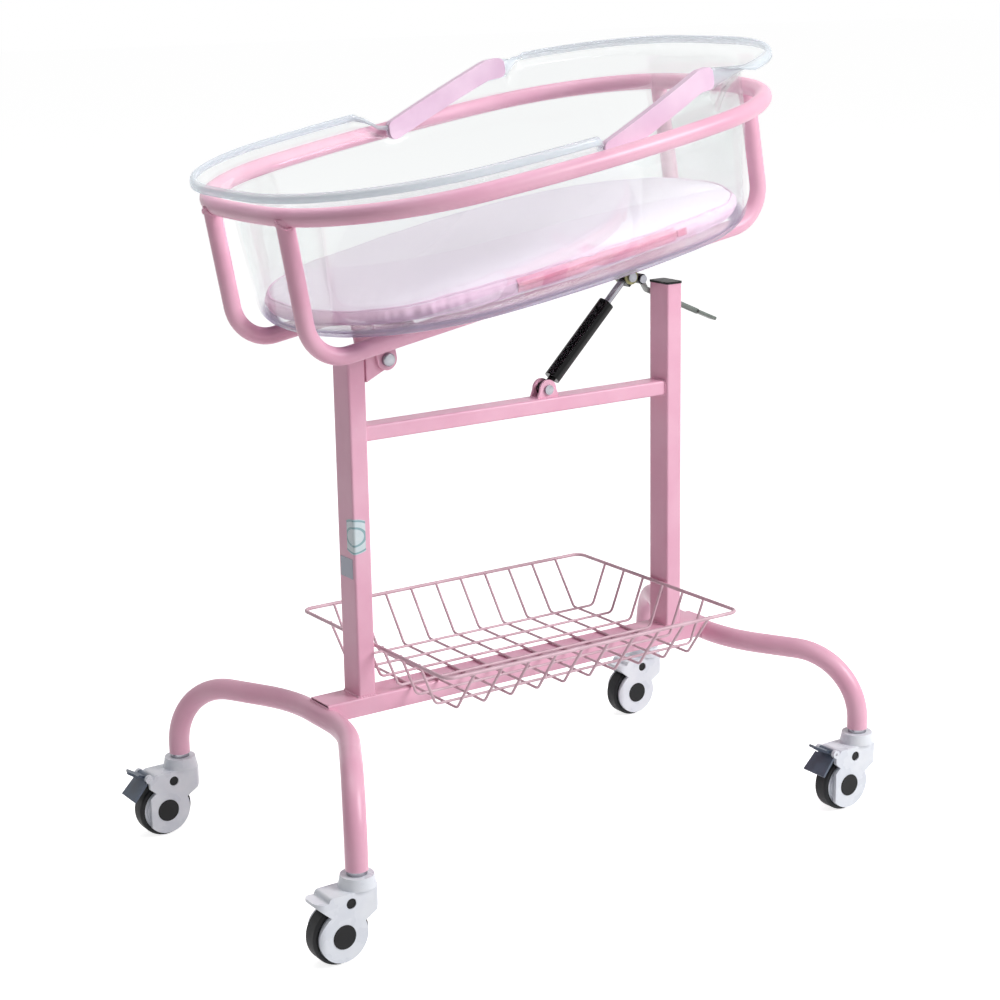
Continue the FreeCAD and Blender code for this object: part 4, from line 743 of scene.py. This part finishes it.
def weldBead(name, line, body):
    # The line is spaced evenly, and the bead's radius r = bead + ripple * sin(2 pi s / rippleLength)
    closed = np.concatenate([line, line[:1]])
    length = np.concatenate([[0], np.cumsum(np.linalg.norm(np.diff(closed, axis=0), axis=1))])
    count = int(length[-1] / weldShape["step"])
    s = np.arange(count) / count * length[-1]
    even = np.stack([np.interp(s, length, closed[:, axis]) for axis in range(3)], -1)
    ripples = round(length[-1] / weldShape["rippleLength"])
    radius = weldShape["bead"] + weldShape["ripple"] * np.sin(2 * math.pi * ripples * s / length[-1])
    bead = barAlong(name, even, radius, body)
    dress(bead, pinkCoat)


def roundedRectangle(half, corner):
    # quarter circles about the four corners' centres: centre + corner * (cos a, sin a)
    angle = np.linspace(0, math.pi / 2, 8)
    signs = ((1, 1), (-1, 1), (-1, -1), (1, -1))
    return np.concatenate([
        np.stack([sign[0] * (half[0] - corner) + corner * np.cos(angle + quarter * math.pi / 2),
                  sign[1] * (half[1] - corner) + corner * np.sin(angle + quarter * math.pi / 2)], -1)
        for quarter, sign in enumerate(signs)])


def makeWelds():
    s = stand
    shift = np.array([standShift, 0, 0])
    for side, word in ((-1, "left"), (1, "right")):
        foot = roundedRectangle(s["columnHalf"], s["corner"])
        line = np.concatenate([foot, np.full((len(foot), 1), s["beamTop"])], -1) + (side * s["columnX"], 0, 0)
        weldBead(word + "ColumnWeld", line + shift, "stand")
        end = roundedRectangle(s["railHalf"], s["corner"])
        line = np.concatenate([np.zeros((len(end), 1)), end], -1) + (side * s["railX"], 0, s["railHeight"])
        weldBead(word + "RailWeld", line + shift, "stand")
        # round the arch tube where the beam's end fits it: x = X - side * R cos a, z = Z + R sin a
        lowest = math.asin((s["beamBottom"] - s["archHeight"]) / s["archRadius"])
        angle = np.linspace(math.pi / 2, lowest, 24)
        curve = np.stack([side * (s["archX"] - s["archRadius"] * np.cos(angle)), np.full(24, -s["beamHalf"]),
                          s["archHeight"] + s["archRadius"] * np.sin(angle)], -1)
        line = np.concatenate([curve, curve[::-1] * (1, -1, 1)])
        weldBead(word + "BeamWeld", line + shift, "stand")
        for across, where in ((-1, "Near"), (1, "Far")):
            # saddle of two equal tubes: n = -sqrt((R cos a)^2 + 2 mm^2), with a from the hoop's own line
            angle = np.linspace(0, 2 * math.pi, 60, endpoint=False)
            turn = -side * across * s["hoopTurn"]
            flat = s["tubeRadius"] * np.stack([np.sin(angle), np.cos(angle)], -1)
            flat = flat @ np.array([[math.cos(turn), math.sin(turn)], [-math.sin(turn), math.cos(turn)]])
            depth = -np.sqrt((s["tubeRadius"] * np.cos(angle)) ** 2 + 0.002 ** 2)
            line = np.concatenate([flat + (side * s["hangerPlace"][0], across * s["hangerPlace"][1]),
                                   depth[:, None]], -1)
            weldBead(word + where + "HangerWeld", basinPoints(line), "basin")


makeWelds()
print("welds done")


# Rounded plastic pieces

edgeRounding = {"caster_housing": 1.6, "brake_pedal": 0.9, "caps": 0.5}     # bevel width in millimetres


def roundedCopy(node, body, width, material):
    # the node's own mesh with doubles merged, flat faces joined and its sharp edges rounded
    mesh = frame["nodes"][node].data.copy()
    mergeDoubles(mesh, math.radians(1.5))
    if mesh.attributes.get("custom_normal"):
        mesh.attributes.remove(mesh.attributes["custom_normal"])
    mesh.set_sharp_from_angle(angle=math.radians(40))
    piece = pieceFromMesh(node + "_rounded", mesh, body)
    bevel = piece.modifiers.new("roundedEdges", "BEVEL")
    bevel.width = width / 1000
    bevel.segments = 3
    bevel.limit_method = "ANGLE"
    bevel.angle_limit = math.radians(38)
    bevel.harden_normals = True
    applyModifiers(piece)
    dress(piece, material)
    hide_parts(node)


for corner in ("near_left", "far_left", "near_right", "far_right"):
    roundedCopy(corner + "_caster_housing", corner + "_swivel", edgeRounding["caster_housing"], casterNylon)
    roundedCopy(corner + "_caps", corner + "_swivel", edgeRounding["caps"], capPlastic)
for corner in ("far_left", "near_right"):
    roundedCopy(corner + "_brake_pedal", corner + "_pedal", edgeRounding["brake_pedal"], pedalNylon)
print("casters rounded")


# Floor, light and camera

studio = {
    "floorColour": "#F4F4F4", "floorReach": 30.0, "floorGlow": 0.82, "world": 0.19,
    "aimHeight": 0.55,
    "keyPower": 165.0, "keyPlace": (2.4, -3.2, 3.0), "keySize": 2.4,
    "topPower": 34.0, "topPlace": (-0.4, 0.2, 3.6), "topSize": 2.4,
}


def seenDirectly(tree):
    # one where the camera sees it, straight, mirrored or through the clear tub
    ray = addNode(tree, "ShaderNodeLightPath").outputs
    seen = worked(tree, "MAXIMUM", ray["Is Camera Ray"], ray["Is Glossy Ray"])
    return worked(tree, "MAXIMUM", seen, ray["Is Transmission Ray"])


def makeStudio():
    s = studio
    mesh = bpy.data.meshes.new("floor")
    r = s["floorReach"]
    mesh.from_pydata([(-r, -r, 0), (r, -r, 0), (r, r, 0), (-r, r, 0)], [], [(0, 1, 2, 3)])
    floor = bpy.data.objects.new("floor", mesh)
    bpy.context.scene.collection.objects.link(floor)
    material = blankMaterial("paleFloor")
    glow = worked(material, "MULTIPLY", seenDirectly(material), s["floorGlow"])
    shader = addNode(material, "ShaderNodeBsdfPrincipled",
                     {"Base Color": linearColour(s["floorColour"]), "Roughness": 0.9,
                      "Specular IOR Level": 0.0, "Emission Color": (1, 1, 1, 1)}, {"Emission Strength": glow})
    floor.data.materials.append(finishMaterial(material, shader))

    world = bpy.data.worlds.new("studioWorld")
    bpy.context.scene.world = world
    world.use_nodes = True
    world.node_tree.nodes.clear()
    strength = addNode(world, "ShaderNodeMapRange", {"To Min": s["world"], "To Max": 1.0},
                       {"Value": seenDirectly(world)})
    sky = addNode(world, "ShaderNodeBackground", {"Color": (1, 1, 1, 1)}, {"Strength": strength.outputs[0]})
    addNode(world, "ShaderNodeOutputWorld", {}, {"Surface": sky.outputs[0]})

    for name in ("key", "top"):
        lamp = bpy.data.lights.new(name, "AREA")
        lamp.energy = s[name + "Power"]
        lamp.shape = "DISK"
        lamp.size = s[name + "Size"]
        light = bpy.data.objects.new(name, lamp)
        bpy.context.scene.collection.objects.link(light)
        light.location = s[name + "Place"]
        aim = Vector((0, 0, s["aimHeight"])) - light.location
        light.rotation_euler = aim.to_track_quat("-Z", "Y").to_euler()


view = {
    "place": (-1.5281, -2.2439, 1.1321),       # in the stand's own frame
    "yaw": math.radians(33.77), "pitch": math.radians(14.155), "roll": math.radians(-1.024),
    "focalPixels": 2107.2, "imagePixels": 1000,
}


def makeCamera():
    data = bpy.data.cameras.new("camera")
    data.sensor_width = 36.0
    data.lens = 36.0 * view["focalPixels"] / view["imagePixels"]
    data.clip_end = 100.0
    camera = bpy.data.objects.new("camera", data)
    bpy.context.scene.collection.objects.link(camera)
    turned = Matrix.Rotation(-view["yaw"], 4, "Z") @ Matrix.Rotation(math.pi / 2 - view["pitch"], 4, "X") \
        @ Matrix.Rotation(view["roll"], 4, "Z")
    camera.matrix_world = Matrix.Translation(Vector(view["place"]) + Vector((standShift, 0, 0))) @ turned
    bpy.context.scene.camera = camera


makeStudio()
makeCamera()
bpy.context.scene.view_settings.view_transform = "Standard"
print("studio and camera")
